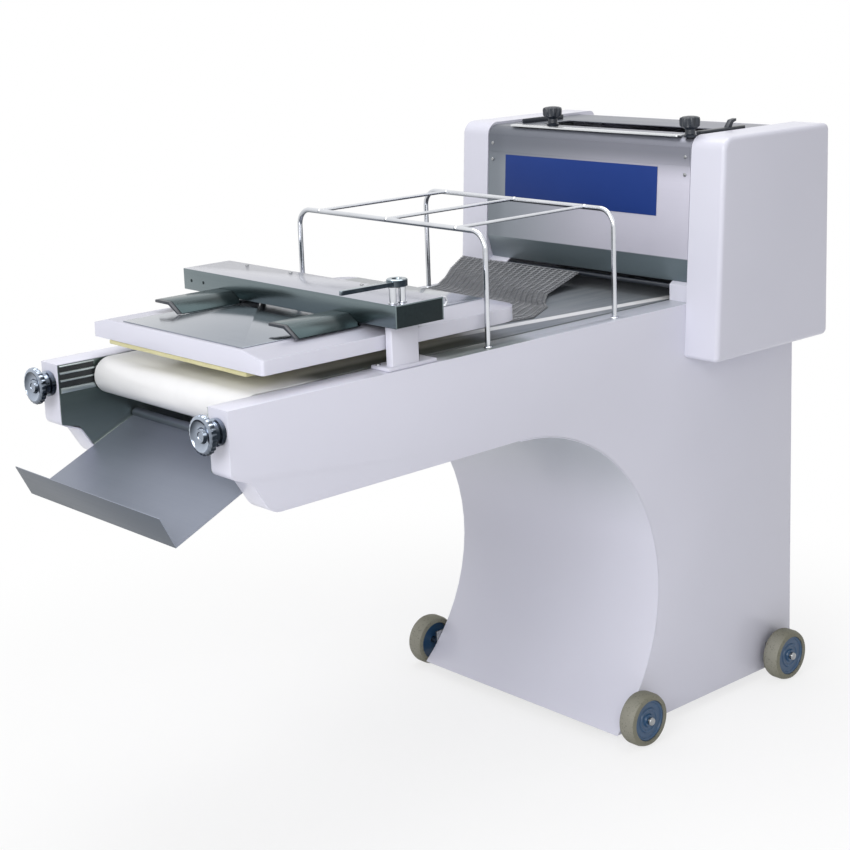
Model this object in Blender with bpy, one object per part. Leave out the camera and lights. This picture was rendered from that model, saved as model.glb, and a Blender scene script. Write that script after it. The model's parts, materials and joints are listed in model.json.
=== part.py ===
"""Bread-dough moulder: a sheeting head on a wheeled pedestal, with a cantilevered moulding conveyor.

Metres, +Z up. +X runs from the catch tray to the head, the operator's near side is -Y,
and the origin is on the floor at the middle of the footprint.
"""

import math

import bmesh
import bpy
from mathutils import Vector

# Clearances
SEAT = 0.0003  # gap between pieces that rest on or are fastened to each other
RUN = 0.0004  # radial gap of a shaft or bolt in its hole

# Folded side panels
PANEL_OUT_Y = 0.262
PANEL_DEPTH = 0.049
PANEL_SKIN = 0.003
PANEL_IN_Y = PANEL_OUT_Y - PANEL_DEPTH
ARM_FRONT_X = -0.630
ARM_TOP_Z = 0.797
ARM_NOSE_Z = 0.694
ARM_BELLY_Z = 0.6255
PEDESTAL_REAR_X = 0.712
PEDESTAL_BOTTOM_Z = 0.020
ARC_X = -0.0365
ARC_Z = 0.2805
ARC_R = 0.3468
SHEET_T = 0.002
RISER_FRONT_X = 0.405
RISER_TOP_Z = 1.088

# Head
HOUSING_OUT_Y = 0.3375
HOUSING_FRONT_X = 0.387
HOUSING_REAR_X = 0.7225
HOUSING_BOTTOM_Z = 0.697
HOUSING_TOP_Z = 1.101
RAKE = 0.0599
HEAD_TOP_Z = 1.0965
HEAD_HALF_Y = PANEL_OUT_Y - 0.0015
COVER_BEND_Z = 0.877
COVER_INSET = 0.001
COVER_TOP_R = 0.020
COVER_FOOT_X = 0.413
COVER_FOOT_Z = 0.832
HEAD_BACK_X = 0.675
REAR_BEND = ((0.6795, HEAD_TOP_Z), (0.6925, 1.0850))
REAR_SHOULDER_Z = 1.0300
REAR_COVER_X = 0.7195
FEED_SLOT_X = (0.482, 0.566)
FEED_SLOT_HALF_Y = 0.185
CLAMP_XY = ((0.4215, -0.2500), (0.4600, 0.1300))
CLAMP_R = 0.0195
CLAMP_H = 0.038
FEED_GUIDE_W = 0.014
FEED_GUIDE_H = 0.010
FEED_GUIDES = (((0.450, 0.580), -0.245), ((0.470, 0.580), 0.222))
BADGE_Y = (-0.184, 0.211)
BADGE_Z = (0.951, 1.041)
BADGE_T = 0.001

# Rollers
BELT_R = 0.031
BELT_T = 0.0025
BELT_HALF_Y = 0.2045
FRONT_ROLLER_X = -0.535
REAR_ROLLER_X = 0.560
ROLLER_Z = ARM_TOP_Z - BELT_R
ROLLER_R = BELT_R - BELT_T - SEAT
ROLLER_HALF_Y = 0.2050
SHAFT_R = 0.008
NIP_X = 0.507
UPPER_NIP_Z = 1.030
LOWER_NIP_Z = 0.938
SHEETING_R = 0.034
UPPER_GAP = 0.008
LOWER_GAP = 0.003
SHEETING_HALF_Y = 0.200
NECK_R = 0.010
BEARING_X = (0.436, 0.600)
BEARING_Z = (0.860, RISER_TOP_Z - 0.0005)
BEARING_T = 0.006

# Drive and pedestal floor
MOTOR_X = 0.52
MOTOR_R = 0.070
MOTOR_AXIS_RISE = 0.090
BASE_X = 0.240
BASE_Z = (0.022, 0.034)
GLAND_YZ = (0.16, 0.09)
GLAND_R = 0.0100

# Belt tension
TENSION_Y = 0.2375
TENSION_Z = 0.763
KNOB_R = 0.031
KNOB_FACE_X = -0.664
COLLAR_R = 0.021
SCREW_R = 0.005
BLOCK_HALF_X = 0.025
BLOCK_HALF_Z = 0.0162

# Catch tray
TRAY_HINGE_X = -0.488
TRAY_HINGE_Z = 0.690
TRAY_ROD_R = 0.005
TRAY_LOW_X = -0.6965
TRAY_LOW_Z = 0.5965
TRAY_LIP_X = -0.7212
TRAY_LIP_Z = 0.646
TRAY_HALF_Y = 0.2075
TRAY_T = 0.0015
BARREL_R = 0.0085
BELLY_X = (-0.455, 0.03)
BELLY_Z = (0.640, 0.660)

# Wire guard
GUARD_Y = 0.244
GUARD_FRONT_X = -0.090
GUARD_REAR_X = 0.220
GUARD_TOP_Z = 0.989
GUARD_R = 0.0045
GUARD_BEND = 0.028
GUARD_FOOT_Z = 0.772
GUARD_BAR_R = 0.003
GUARD_BAR_Y = (-0.176, 0.0, 0.184)

# Pressure board
BOARD_X = (-0.543, 0.005)
BOARD_HALF_Y = 0.234
BOARD_Z = (0.8285, 0.8620)
BOARD_EDGE_Z = 0.852
BOARD_TOP_HALF_Y = 0.192
BOARD_TOP_REAR_X = -0.030
BOARD_REAR_R = 0.045
TOP_PLATE_Y = (-0.178, 0.150)
BOARD_CAVITY_X = (-0.530, -0.045)
BOARD_CAVITY_HALF_Y = 0.183
BOARD_CAVITY_TOP_Z = 0.857
LINING_T = 0.008
LINING_HALF_Y = 0.190
PLATE_T = 0.0015
STUD_R = 0.005
STUD_X = -0.272
STUD_Y = (-0.140, 0.120)
LIFT_BAR_Z = (0.888, 0.898)

# Curling mat
MAT_X = (-0.060, 0.3935)
MAT_FAR_Y = 0.238
MAT_T = 0.004
MAT_ROD_X = RISER_FRONT_X + 0.004
MAT_ROD_Z = 0.8225
MAT_ROD_R = 0.004

# Cross channel
CHANNEL_X = (-0.3225, -0.2225)
CHANNEL_HALF_Y = 0.285
CHANNEL_TOP_Z = 0.907
CHANNEL_LEG_Z = 0.870
CHANNEL_T = 0.0025
POST_IN_Y = 0.2385
FOOT_X = (-0.318, -0.216)
FOOT_Y = (0.2145, 0.2580)
POST_X = (-0.306, -0.250)
POST_W = 0.015
LEVER_X = -0.303
LEVER_Y = -0.268
LEVER_POST_H = 0.026
LEVER_H = 0.012
LEVER_HUB_R = 0.017
LEVER_REACH = 0.114
GUIDE_FRONT_X = -0.445

# Wheels
WHEEL_R = 0.050
WHEEL_W = 0.036
WHEEL_IN_Y = 0.2715
WHEEL_X = (0.233, 0.658)
STUB_R = 0.006
STUB_PLATE_Z = (0.026, 0.074)

COLOURS = {
    "paint": ((0.72, 0.73, 0.78), 0.0, 0.35),
    "steel": ((0.55, 0.58, 0.58), 1.0, 0.30),
    "chrome": ((0.80, 0.81, 0.83), 1.0, 0.10),
    "belt": ((0.90, 0.90, 0.92), 0.0, 0.60),
    "black": ((0.02, 0.02, 0.025), 0.0, 0.35),
    "blue": ((0.03, 0.07, 0.30), 0.0, 0.35),
    "ivory": ((0.70, 0.68, 0.48), 0.0, 0.70),
    "tyre": ((0.52, 0.50, 0.38), 0.0, 0.60),
    "cast": ((0.30, 0.32, 0.33), 0.4, 0.50),
}


def clear_scene():
    for obj in list(bpy.data.objects):
        bpy.data.objects.remove(obj, do_unlink=True)


def material(name):
    found = bpy.data.materials.get(name)
    if found:
        return found
    colour, metallic, roughness = COLOURS[name]
    made = bpy.data.materials.new(name)
    made.use_nodes = True
    shader = made.node_tree.nodes["Principled BSDF"]
    shader.inputs["Base Color"].default_value = (*colour, 1.0)
    shader.inputs["Metallic"].default_value = metallic
    shader.inputs["Roughness"].default_value = roughness
    return made


def add(name, points, faces, look, smooth=False):
    mesh = bpy.data.meshes.new(name)
    mesh.from_pydata([tuple(p) for p in points], [], faces)
    bm = bmesh.new()
    bm.from_mesh(mesh)
    bmesh.ops.recalc_face_normals(bm, faces=bm.faces)
    bm.to_mesh(mesh)
    bm.free()
    obj = bpy.data.objects.new(name, mesh)
    bpy.context.scene.collection.objects.link(obj)
    mesh.materials.append(material(look))
    if smooth:
        mesh.shade_smooth()
    return obj


def apply_modifiers(obj):
    graph = bpy.context.evaluated_depsgraph_get()
    graph.update()
    mesh = bpy.data.meshes.new_from_object(obj.evaluated_get(graph))
    obj.modifiers.clear()
    old = obj.data
    obj.data = mesh
    bpy.data.meshes.remove(old)


def combine(obj, tool, operation):
    modifier = obj.modifiers.new("combine", "BOOLEAN")
    modifier.operation = operation
    modifier.solver = "EXACT"
    modifier.object = tool
    apply_modifiers(obj)
    bpy.data.objects.remove(tool, do_unlink=True)
    return obj


def cut(obj, tool):
    return combine(obj, tool, "DIFFERENCE")


def join(obj, tool):
    return combine(obj, tool, "UNION")


def prism(name, outline, low, high, axis, look):
    """A closed outline in the plane across the axis, pulled from low to high along it."""
    place = {
        "x": lambda a, b, c: (c, a, b),
        "y": lambda a, b, c: (a, c, b),
        "z": lambda a, b, c: (a, b, c),
    }[axis]
    count = len(outline)
    points = [place(a, b, low) for a, b in outline]
    points += [place(a, b, high) for a, b in outline]
    faces = [tuple(range(count)), tuple(range(2 * count - 1, count - 1, -1))]
    for i in range(count):
        j = (i + 1) % count
        faces.append((i, j, count + j, count + i))
    return add(name, points, faces, look)


def loft(name, outlines, heights, look):
    """Outlines with the same number of points, stacked at heights and skinned into one closed body."""
    count = len(outlines[0])
    points = [(x, y, z) for outline, z in zip(outlines, heights) for x, y in outline]
    last = (len(outlines) - 1) * count
    faces = [tuple(range(count)), tuple(range(last + count - 1, last - 1, -1))]
    for ring in range(len(outlines) - 1):
        low = ring * count
        for i in range(count):
            j = (i + 1) % count
            faces.append((low + i, low + j, low + count + j, low + count + i))
    return add(name, points, faces, look)


def box(name, xs, ys, zs, look):
    outline = [(xs[0], ys[0]), (xs[1], ys[0]), (xs[1], ys[1]), (xs[0], ys[1])]
    return prism(name, outline, zs[0], zs[1], "z", look)


def lathe(name, profile, centre, axis, look, steps=32):
    """Turns (distance along the axis, radius) points about an axis line through centre."""
    place = {
        "x": lambda along, a, b: (centre[0] + along, centre[1] + a, centre[2] + b),
        "y": lambda along, a, b: (centre[0] + b, centre[1] + along, centre[2] + a),
        "z": lambda along, a, b: (centre[0] + a, centre[1] + b, centre[2] + along),
    }[axis]
    points = []
    for along, radius in profile:
        for i in range(steps):
            angle = 2 * math.pi * i / steps
            points.append(place(along, radius * math.cos(angle), radius * math.sin(angle)))
    rings = len(profile)
    faces = []
    for ring in range(rings - 1):
        for i in range(steps):
            j = (i + 1) % steps
            low = ring * steps
            high = low + steps
            faces.append((low + i, low + j, high + j, high + i))
    faces.append(tuple(range(steps)))
    faces.append(tuple(range(rings * steps - 1, (rings - 1) * steps - 1, -1)))
    return add(name, points, faces, look, smooth=True)


def rod(name, start, length, radius, axis, look, steps=16):
    return lathe(name, [(0.0, radius), (length, radius)], start, axis, look, steps)


def arc(centre, radius, start, end, steps):
    """Points of an arc in a plane, angles in degrees."""
    points = []
    for i in range(steps + 1):
        angle = math.radians(start + (end - start) * i / steps)
        points.append((centre[0] + radius * math.cos(angle), centre[1] + radius * math.sin(angle)))
    return points


def rounded(points, radii, steps=4):
    """The outline with each corner that has a radius replaced by a fillet."""
    out = []
    count = len(points)
    for i, point in enumerate(points):
        radius = radii[i]
        here = Vector(point)
        if not radius:
            out.append(tuple(here))
            continue
        before = (Vector(points[i - 1]) - here).normalized()
        after = (Vector(points[(i + 1) % count]) - here).normalized()
        half = before.angle(after) / 2
        centre = here + (before + after).normalized() * (radius / math.sin(half))
        first = here + before * (radius / math.tan(half)) - centre
        last = here + after * (radius / math.tan(half)) - centre
        turn = first.angle_signed(last)
        for step in range(steps + 1):
            angle = -turn * step / steps
            spun = Vector((
                first.x * math.cos(angle) - first.y * math.sin(angle),
                first.x * math.sin(angle) + first.y * math.cos(angle),
            ))
            out.append(tuple(centre + spun))
    return out


def inset(points, distance):
    """The outline moved inwards by a distance, with its corners kept sharp."""
    count = len(points)
    area = 0.0
    for i in range(count):
        ax, ay = points[i]
        bx, by = points[(i + 1) % count]
        area += ax * by - bx * ay
    side = 1.0 if area > 0 else -1.0
    out = []
    for i in range(count):
        here = Vector(points[i])
        one = (here - Vector(points[i - 1])).normalized()
        two = (Vector(points[(i + 1) % count]) - here).normalized()
        normal_one = Vector((-one.y, one.x)) * side
        normal_two = Vector((-two.y, two.x)) * side
        middle = (normal_one + normal_two).normalized()
        reach = distance / max(0.2, middle.dot(normal_one))
        out.append(tuple(here + middle * reach))
    return out


def beside(points, distance):
    """The line moved to its right by a distance."""
    count = len(points)
    other = []
    for i in range(count):
        here = Vector(points[i])
        one = (here - Vector(points[i - 1])).normalized() if i else None
        two = (Vector(points[i + 1]) - here).normalized() if i < count - 1 else None
        one = one or two
        two = two or one
        normal_one = Vector((one.y, -one.x))
        normal_two = Vector((two.y, -two.x))
        middle = (normal_one + normal_two).normalized()
        other.append(tuple(here + middle * (distance / middle.dot(normal_one))))
    return other


def strip(points, thickness):
    """The outline of a bent sheet: the given line is its outer side, the thickness lies to its right."""
    return list(points) + beside(points, thickness)[::-1]


def tube(name, path, radius, look, steps=12):
    """A round wire along a path, closed at both ends."""
    points = [Vector(p) for p in path]
    count = len(points)
    tangents = []
    for i in range(count):
        ahead = points[min(i + 1, count - 1)]
        behind = points[max(i - 1, 0)]
        tangents.append((ahead - behind).normalized())
    side = tangents[0].orthogonal().normalized()
    verts = []
    for point, tangent in zip(points, tangents):
        side = (side - tangent * side.dot(tangent)).normalized()
        up = tangent.cross(side)
        for step in range(steps):
            angle = 2 * math.pi * step / steps
            verts.append(point + side * (radius * math.cos(angle)) + up * (radius * math.sin(angle)))
    faces = []
    for ring in range(count - 1):
        for i in range(steps):
            j = (i + 1) % steps
            low = ring * steps
            faces.append((low + i, low + j, low + steps + j, low + steps + i))
    faces.append(tuple(range(steps)))
    faces.append(tuple(range(count * steps - 1, (count - 1) * steps - 1, -1)))
    return add(name, verts, faces, look, smooth=True)


def front_x(height):
    """Where the leaning front of the head is at a height."""
    return HOUSING_FRONT_X + RAKE * (height - HOUSING_BOTTOM_Z)


def set_origin(obj, point):
    """Moves the object's origin to a point and leaves its shape where it is."""
    shift = Vector(point)
    for vertex in obj.data.vertices:
        vertex.co -= shift
    obj.location = shift
    return obj


SIDES = (("near", -1.0), ("far", 1.0))


def span(side, inner, outer):
    """A Y range on one side of the machine, low end first."""
    return tuple(sorted((side * inner, side * outer)))


def front_cover_line():
    """The outer side of the head's front cover in XZ, from its lower flap up and back over the top."""
    corners = [
        (COVER_FOOT_X, COVER_FOOT_Z),
        (front_x(COVER_BEND_Z) + COVER_INSET, COVER_BEND_Z),
        (front_x(HEAD_TOP_Z) + COVER_INSET, HEAD_TOP_Z),
        (HEAD_BACK_X, HEAD_TOP_Z),
    ]
    return rounded(corners, [0.0, 0.006, COVER_TOP_R, 0.0])


def rear_cover_line():
    """The outer side of the head's rear cover in XZ, from the top down."""
    return [
        (HEAD_BACK_X + SEAT, HEAD_TOP_Z),
        *REAR_BEND,
        (REAR_COVER_X, REAR_SHOULDER_Z),
        (REAR_COVER_X, HOUSING_BOTTOM_Z + 0.002),
    ]


def panel_outline():
    radius = ARC_R + SHEET_T + SEAT
    low = math.degrees(math.asin((PEDESTAL_BOTTOM_Z - ARC_Z) / radius))
    outline = rounded(
        [
            (ARM_FRONT_X, ARM_TOP_Z),
            (ARM_FRONT_X, ARM_NOSE_Z),
            (-0.594, 0.680),
            (-0.560, ARM_BELLY_Z),
            (ARC_X, ARC_Z + radius),
        ],
        [0.0, 0.012, 0.022, 0.030, 0.0],
    )
    outline += arc((ARC_X, ARC_Z), radius, 90.0, low, 24)[1:]
    rear = PEDESTAL_REAR_X - SHEET_T - SEAT
    outline += [(rear, PEDESTAL_BOTTOM_Z), (rear, HOUSING_BOTTOM_Z)]
    back = beside(rear_cover_line(), SHEET_T + SEAT)[::-1]
    outline += [(back[0][0], HOUSING_BOTTOM_Z + 0.002)] + back[1:3] + [(0.665, RISER_TOP_Z)]
    front = beside(front_cover_line(), SHEET_T + SEAT)
    slope_top = HEAD_TOP_Z - COVER_TOP_R - 0.006
    slope = [point for point in front if point[1] < slope_top]
    behind = COVER_INSET + SHEET_T + 2 * SEAT
    outline += [(0.440, RISER_TOP_Z), (front_x(slope_top) + behind, slope_top)] + slope[::-1]
    outline += [(RISER_FRONT_X, 0.8265), (RISER_FRONT_X, ARM_TOP_Z)]
    return outline


def side_panels():
    outline = panel_outline()
    pocket = inset(outline, PANEL_SKIN)
    for word, side in SIDES:
        low, high = span(side, PANEL_IN_Y, PANEL_OUT_Y)
        panel = prism(f"side_panel_{word}", outline, low, high, "y", "paint")
        low, high = span(side, PANEL_IN_Y - 0.01, PANEL_OUT_Y - PANEL_SKIN)
        cut(panel, prism("pocket", pocket, low, high, "y", "paint"))
        for x in (GUARD_FRONT_X, GUARD_REAR_X):
            start = (x, side * GUARD_Y, ARM_TOP_Z - 0.02)
            cut(panel, rod("hole", start, 0.04, GUARD_R + RUN, "z", "paint", 12))
        start = (ARM_FRONT_X - 0.01, side * TENSION_Y, TENSION_Z)
        cut(panel, rod("hole", start, 0.02, SCREW_R + RUN, "x", "paint"))


def pedestal_sheets():
    low = math.degrees(math.asin((PEDESTAL_BOTTOM_Z - ARC_Z) / ARC_R))
    inner = arc((ARC_X, ARC_Z), ARC_R, 90.0, low, 24)
    outer = arc((ARC_X, ARC_Z), ARC_R + SHEET_T, 90.0, low, 24)
    prism("pedestal_front_sheet", inner + outer[::-1], -PANEL_OUT_Y, PANEL_OUT_Y, "y", "paint")
    rear = box(
        "pedestal_rear_panel",
        (PEDESTAL_REAR_X - SHEET_T, PEDESTAL_REAR_X),
        (-PANEL_OUT_Y, PANEL_OUT_Y),
        (PEDESTAL_BOTTOM_Z, HOUSING_BOTTOM_Z - SEAT),
        "paint",
    )
    y, z = GLAND_YZ
    cut(rear, rod("hole", (PEDESTAL_REAR_X - 0.01, y, z), 0.02, GLAND_R + RUN, "x", "paint"))
    flange = SHEET_T + SEAT
    profile = [(-0.008, GLAND_R), (flange, GLAND_R), (flange, 0.0125), (0.0085, 0.0125)]
    gland = lathe("cable_gland", profile, (PEDESTAL_REAR_X - SHEET_T, y, z), "x", "black", 16)
    cut(gland, rod("bore", (PEDESTAL_REAR_X - 0.02, y, z), 0.04, 0.0045, "x", "black"))
    box(
        "base_plate",
        (BASE_X, PEDESTAL_REAR_X - SHEET_T - SEAT),
        (-PANEL_IN_Y + SEAT, PANEL_IN_Y - SEAT),
        BASE_Z,
        "cast",
    )


def motor():
    top = BASE_Z[1] + SEAT
    axis_z = top + MOTOR_AXIS_RISE
    profile = [(-0.13, 0.055), (-0.12, MOTOR_R), (0.08, MOTOR_R), (0.09, 0.058)]
    body = lathe("drive_motor", profile, (MOTOR_X, 0.0, axis_z), "y", "cast", 24)
    foot = (MOTOR_X - 0.075, MOTOR_X + 0.075)
    join(body, box("foot", foot, (-0.07, 0.05), (top, top + 0.050), "cast"))
    join(body, rod("shaft", (MOTOR_X, 0.08, axis_z), 0.085, 0.010, "y", "cast"))
    groove = [(0.0, 0.036), (0.005, 0.036), (0.009, 0.030), (0.013, 0.036), (0.018, 0.036)]
    join(body, lathe("pulley", groove, (MOTOR_X, 0.138, axis_z), "y", "cast", 24))


def housings():
    outline = rounded(
        [
            (HOUSING_FRONT_X, HOUSING_BOTTOM_Z),
            (front_x(HOUSING_TOP_Z), HOUSING_TOP_Z),
            (HOUSING_REAR_X, HOUSING_TOP_Z),
            (HOUSING_REAR_X, HOUSING_BOTTOM_Z),
        ],
        [0.004, 0.020, 0.012, 0.006],
    )
    pocket = inset(outline, SHEET_T)
    for word, side in SIDES:
        low, high = span(side, PANEL_OUT_Y + SEAT, HOUSING_OUT_Y)
        housing = prism(f"gear_housing_{word}", outline, low, high, "y", "paint")
        low, high = span(side, PANEL_OUT_Y - 0.01, HOUSING_OUT_Y - SHEET_T)
        cut(housing, prism("pocket", pocket, low, high, "y", "paint"))


def head_covers():
    outline = strip(front_cover_line(), SHEET_T)
    cover = prism("head_front_cover", outline, -HEAD_HALF_Y, HEAD_HALF_Y, "y", "steel")
    half = (-FEED_SLOT_HALF_Y, FEED_SLOT_HALF_Y)
    cut(cover, box("slot", FEED_SLOT_X, half, (HEAD_TOP_Z - 0.02, HEAD_TOP_Z + 0.02), "steel"))
    outline = strip(rear_cover_line(), SHEET_T)
    prism("head_rear_cover", outline, -HEAD_HALF_Y, HEAD_HALF_Y, "y", "steel")
    low, high = BADGE_Z
    lean = [
        (front_x(low) + COVER_INSET - SEAT, low),
        (front_x(high) + COVER_INSET - SEAT, high),
        (front_x(high) + COVER_INSET - SEAT - BADGE_T, high),
        (front_x(low) + COVER_INSET - SEAT - BADGE_T, low),
    ]
    prism("front_plate", lean, BADGE_Y[0], BADGE_Y[1], "y", "blue")


def head_top():
    base = HEAD_TOP_Z + SEAT
    for word, (x, y) in zip(("near", "far"), CLAMP_XY):
        profile = [(0.0, 0.010), (0.016, 0.010), (0.018, CLAMP_R - 0.002), (0.020, CLAMP_R)]
        profile += [(CLAMP_H - 0.003, CLAMP_R), (CLAMP_H, CLAMP_R - 0.003)]
        lathe(f"clamp_knob_{word}", profile, (x, y, base), "z", "black", 20)
    for word, (xs, y) in zip(("near", "far"), FEED_GUIDES):
        ys = (y - FEED_GUIDE_W / 2, y + FEED_GUIDE_W / 2)
        box(f"feed_guide_{word}", xs, ys, (base, base + FEED_GUIDE_H), "black")


def sheeting_rollers():
    places = (
        ("feed_roller_front", NIP_X - SHEETING_R - UPPER_GAP / 2, UPPER_NIP_Z),
        ("feed_roller_rear", NIP_X + SHEETING_R + UPPER_GAP / 2, UPPER_NIP_Z),
        ("sheeting_roller_front", NIP_X - SHEETING_R - LOWER_GAP / 2, LOWER_NIP_Z),
        ("sheeting_roller_rear", NIP_X + SHEETING_R + LOWER_GAP / 2, LOWER_NIP_Z),
    )
    end = PANEL_OUT_Y - PANEL_SKIN - 0.004
    profile = [(-end, NECK_R), (-SHEETING_HALF_Y, NECK_R), (-SHEETING_HALF_Y, SHEETING_R)]
    profile += [(SHEETING_HALF_Y, SHEETING_R), (SHEETING_HALF_Y, NECK_R), (end, NECK_R)]
    for name, x, z in places:
        roller = lathe(name, profile, (0.0, 0.0, 0.0), "y", "chrome", 32)
        roller.location = (x, 0.0, z)
    for word, side in SIDES:
        low, high = span(side, PANEL_IN_Y - SEAT - BEARING_T, PANEL_IN_Y - SEAT)
        plate = box(f"bearing_plate_{word}", BEARING_X, (low, high), BEARING_Z, "cast")
        for name, x, z in places:
            start = (x, low - 0.01, z)
            cut(plate, rod("hole", start, 0.03, NECK_R + RUN, "y", "cast", 32))


def conveyor():
    end = PANEL_OUT_Y - PANEL_SKIN - 0.008
    profile = [(-end, SHAFT_R), (-ROLLER_HALF_Y, SHAFT_R), (-ROLLER_HALF_Y, ROLLER_R)]
    profile += [(ROLLER_HALF_Y, ROLLER_R), (ROLLER_HALF_Y, SHAFT_R), (end, SHAFT_R)]
    for name, x in (("front_roller", FRONT_ROLLER_X), ("drive_roller", REAR_ROLLER_X)):
        roller = lathe(name, profile, (0.0, 0.0, 0.0), "y", "steel", 32)
        roller.location = (x, 0.0, ROLLER_Z)
    outer = arc((REAR_ROLLER_X, ROLLER_Z), BELT_R, 90.0, -90.0, 16)
    outer += arc((FRONT_ROLLER_X, ROLLER_Z), BELT_R, 270.0, 90.0, 16)
    inner = arc((REAR_ROLLER_X, ROLLER_Z), BELT_R - BELT_T, 90.0, -90.0, 16)
    inner += arc((FRONT_ROLLER_X, ROLLER_Z), BELT_R - BELT_T, 270.0, 90.0, 16)
    belt = prism("conveyor_belt", outer, -BELT_HALF_Y, BELT_HALF_Y, "y", "belt")
    cut(belt, prism("loop", inner, -BELT_HALF_Y - 0.01, BELT_HALF_Y + 0.01, "y", "belt"))
    belt.data.shade_smooth()
    top = ARM_TOP_Z - BELT_T - SEAT
    edge = PANEL_IN_Y - 0.0026
    bed = [(-edge, top - 0.028), (-edge, top), (edge, top), (edge, top - 0.028)]
    prism("slider_bed", strip(bed, 0.0015), -0.495, 0.520, "x", "steel")


def arm_liners():
    for word, side in SIDES:
        low, high = span(side, PANEL_IN_Y - 0.0020, PANEL_IN_Y - SEAT)
        liner = box(f"arm_liner_{word}", (ARM_FRONT_X + 0.001, 0.400), (low, high), (0.642, 0.7955), "steel")
        xs = (FRONT_ROLLER_X - 0.045, FRONT_ROLLER_X + 0.045)
        zs = (ROLLER_Z - BLOCK_HALF_Z - SEAT, ROLLER_Z + BLOCK_HALF_Z + SEAT)
        cut(liner, box("window", xs, span(side, 0.2, 0.22), zs, "steel"))
        nose = [(-0.66, 0.60), (-0.66, 0.704), (-0.596, 0.6865), (-0.5655, 0.642), (-0.54, 0.60)]
        cut(liner, prism("nose", nose, low - 0.01, high + 0.01, "y", "steel"))


def belt_tension():
    for word, side in SIDES:
        low, high = span(side, ROLLER_HALF_Y + SEAT, PANEL_OUT_Y - PANEL_SKIN - 0.004)
        block = box(
            f"takeup_block_{word}",
            (FRONT_ROLLER_X - BLOCK_HALF_X, FRONT_ROLLER_X + BLOCK_HALF_X),
            (low, high),
            (ROLLER_Z - BLOCK_HALF_Z, ROLLER_Z + BLOCK_HALF_Z),
            "cast",
        )
        start = (FRONT_ROLLER_X, low - 0.01, ROLLER_Z)
        cut(block, rod("bore", start, 0.08, SHAFT_R + SEAT, "y", "cast", 32))
        start = (FRONT_ROLLER_X - 0.03, side * TENSION_Y, TENSION_Z)
        cut(block, rod("hole", start, 0.017, SCREW_R + RUN, "x", "cast"))
        face = KNOB_FACE_X - ARM_FRONT_X
        collar = -SEAT
        tip = FRONT_ROLLER_X - 0.015 - ARM_FRONT_X
        profile = [(tip, SCREW_R), (collar, SCREW_R), (collar, COLLAR_R)]
        profile += [(-0.010, COLLAR_R), (-0.012, 0.018), (-0.014, 0.018), (-0.016, 0.029), (-0.018, KNOB_R)]
        profile += [(face + 0.003, KNOB_R), (face, KNOB_R - 0.003), (face, 0.0235), (face + 0.0025, 0.022)]
        profile += [(face + 0.0025, 0.015), (face, 0.0135)]
        knob = lathe(f"tension_knob_{word}", profile[::-1], (0, 0, 0), "x", "chrome", 32)
        knob.location = (ARM_FRONT_X, side * TENSION_Y, TENSION_Z)


def catch_tray():
    slope = Vector((TRAY_LOW_X - TRAY_HINGE_X, TRAY_LOW_Z - TRAY_HINGE_Z)).normalized()
    top = Vector((TRAY_HINGE_X, TRAY_HINGE_Z)) + slope * 0.004
    line = [(TRAY_LIP_X, TRAY_LIP_Z), (TRAY_LOW_X, TRAY_LOW_Z), tuple(top)]
    outline = strip(line, TRAY_T)
    tray = prism("catch_tray", outline, -TRAY_HALF_Y, TRAY_HALF_Y, "y", "steel")
    start = (TRAY_HINGE_X, -TRAY_HALF_Y, TRAY_HINGE_Z)
    join(tray, rod("barrel", start, 2 * TRAY_HALF_Y, BARREL_R, "y", "steel", 16))
    start = (TRAY_HINGE_X, -0.3, TRAY_HINGE_Z)
    cut(tray, rod("bore", start, 0.6, TRAY_ROD_R + SEAT, "y", "steel", 16))
    set_origin(tray, (TRAY_HINGE_X, 0.0, TRAY_HINGE_Z))
    half = PANEL_IN_Y - 0.0020 - SEAT
    rod("tray_rod", (TRAY_HINGE_X, -half, TRAY_HINGE_Z), 2 * half, TRAY_ROD_R, "y", "chrome", 16)
    front, rear = BELLY_X
    low, high = BELLY_Z
    pan = strip([(front, high), (front, low), (rear, low)], 0.0015)
    prism("belly_pan", pan, -half, half, "y", "steel")


def hoop(name, x):
    low = GUARD_FOOT_Z
    corner = GUARD_TOP_Z - GUARD_BEND
    path = [(x, -GUARD_Y, low)]
    bend = arc((-GUARD_Y + GUARD_BEND, corner), GUARD_BEND, 180.0, 90.0, 6)
    path += [(x, y, z) for y, z in bend]
    bend = arc((GUARD_Y - GUARD_BEND, corner), GUARD_BEND, 90.0, 0.0, 6)
    path += [(x, y, z) for y, z in bend]
    path += [(x, GUARD_Y, low)]
    return tube(name, path, GUARD_R, "chrome", 12)


def wire_guard():
    guard = hoop("wire_guard", GUARD_FRONT_X)
    join(guard, hoop("rear", GUARD_REAR_X))
    for y in GUARD_BAR_Y:
        start = (GUARD_FRONT_X, y, GUARD_TOP_Z + 0.001)
        length = GUARD_REAR_X - GUARD_FRONT_X
        join(guard, rod("bar", start, length, GUARD_BAR_R, "x", "chrome", 10))
    guard.data.shade_smooth()


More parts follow.
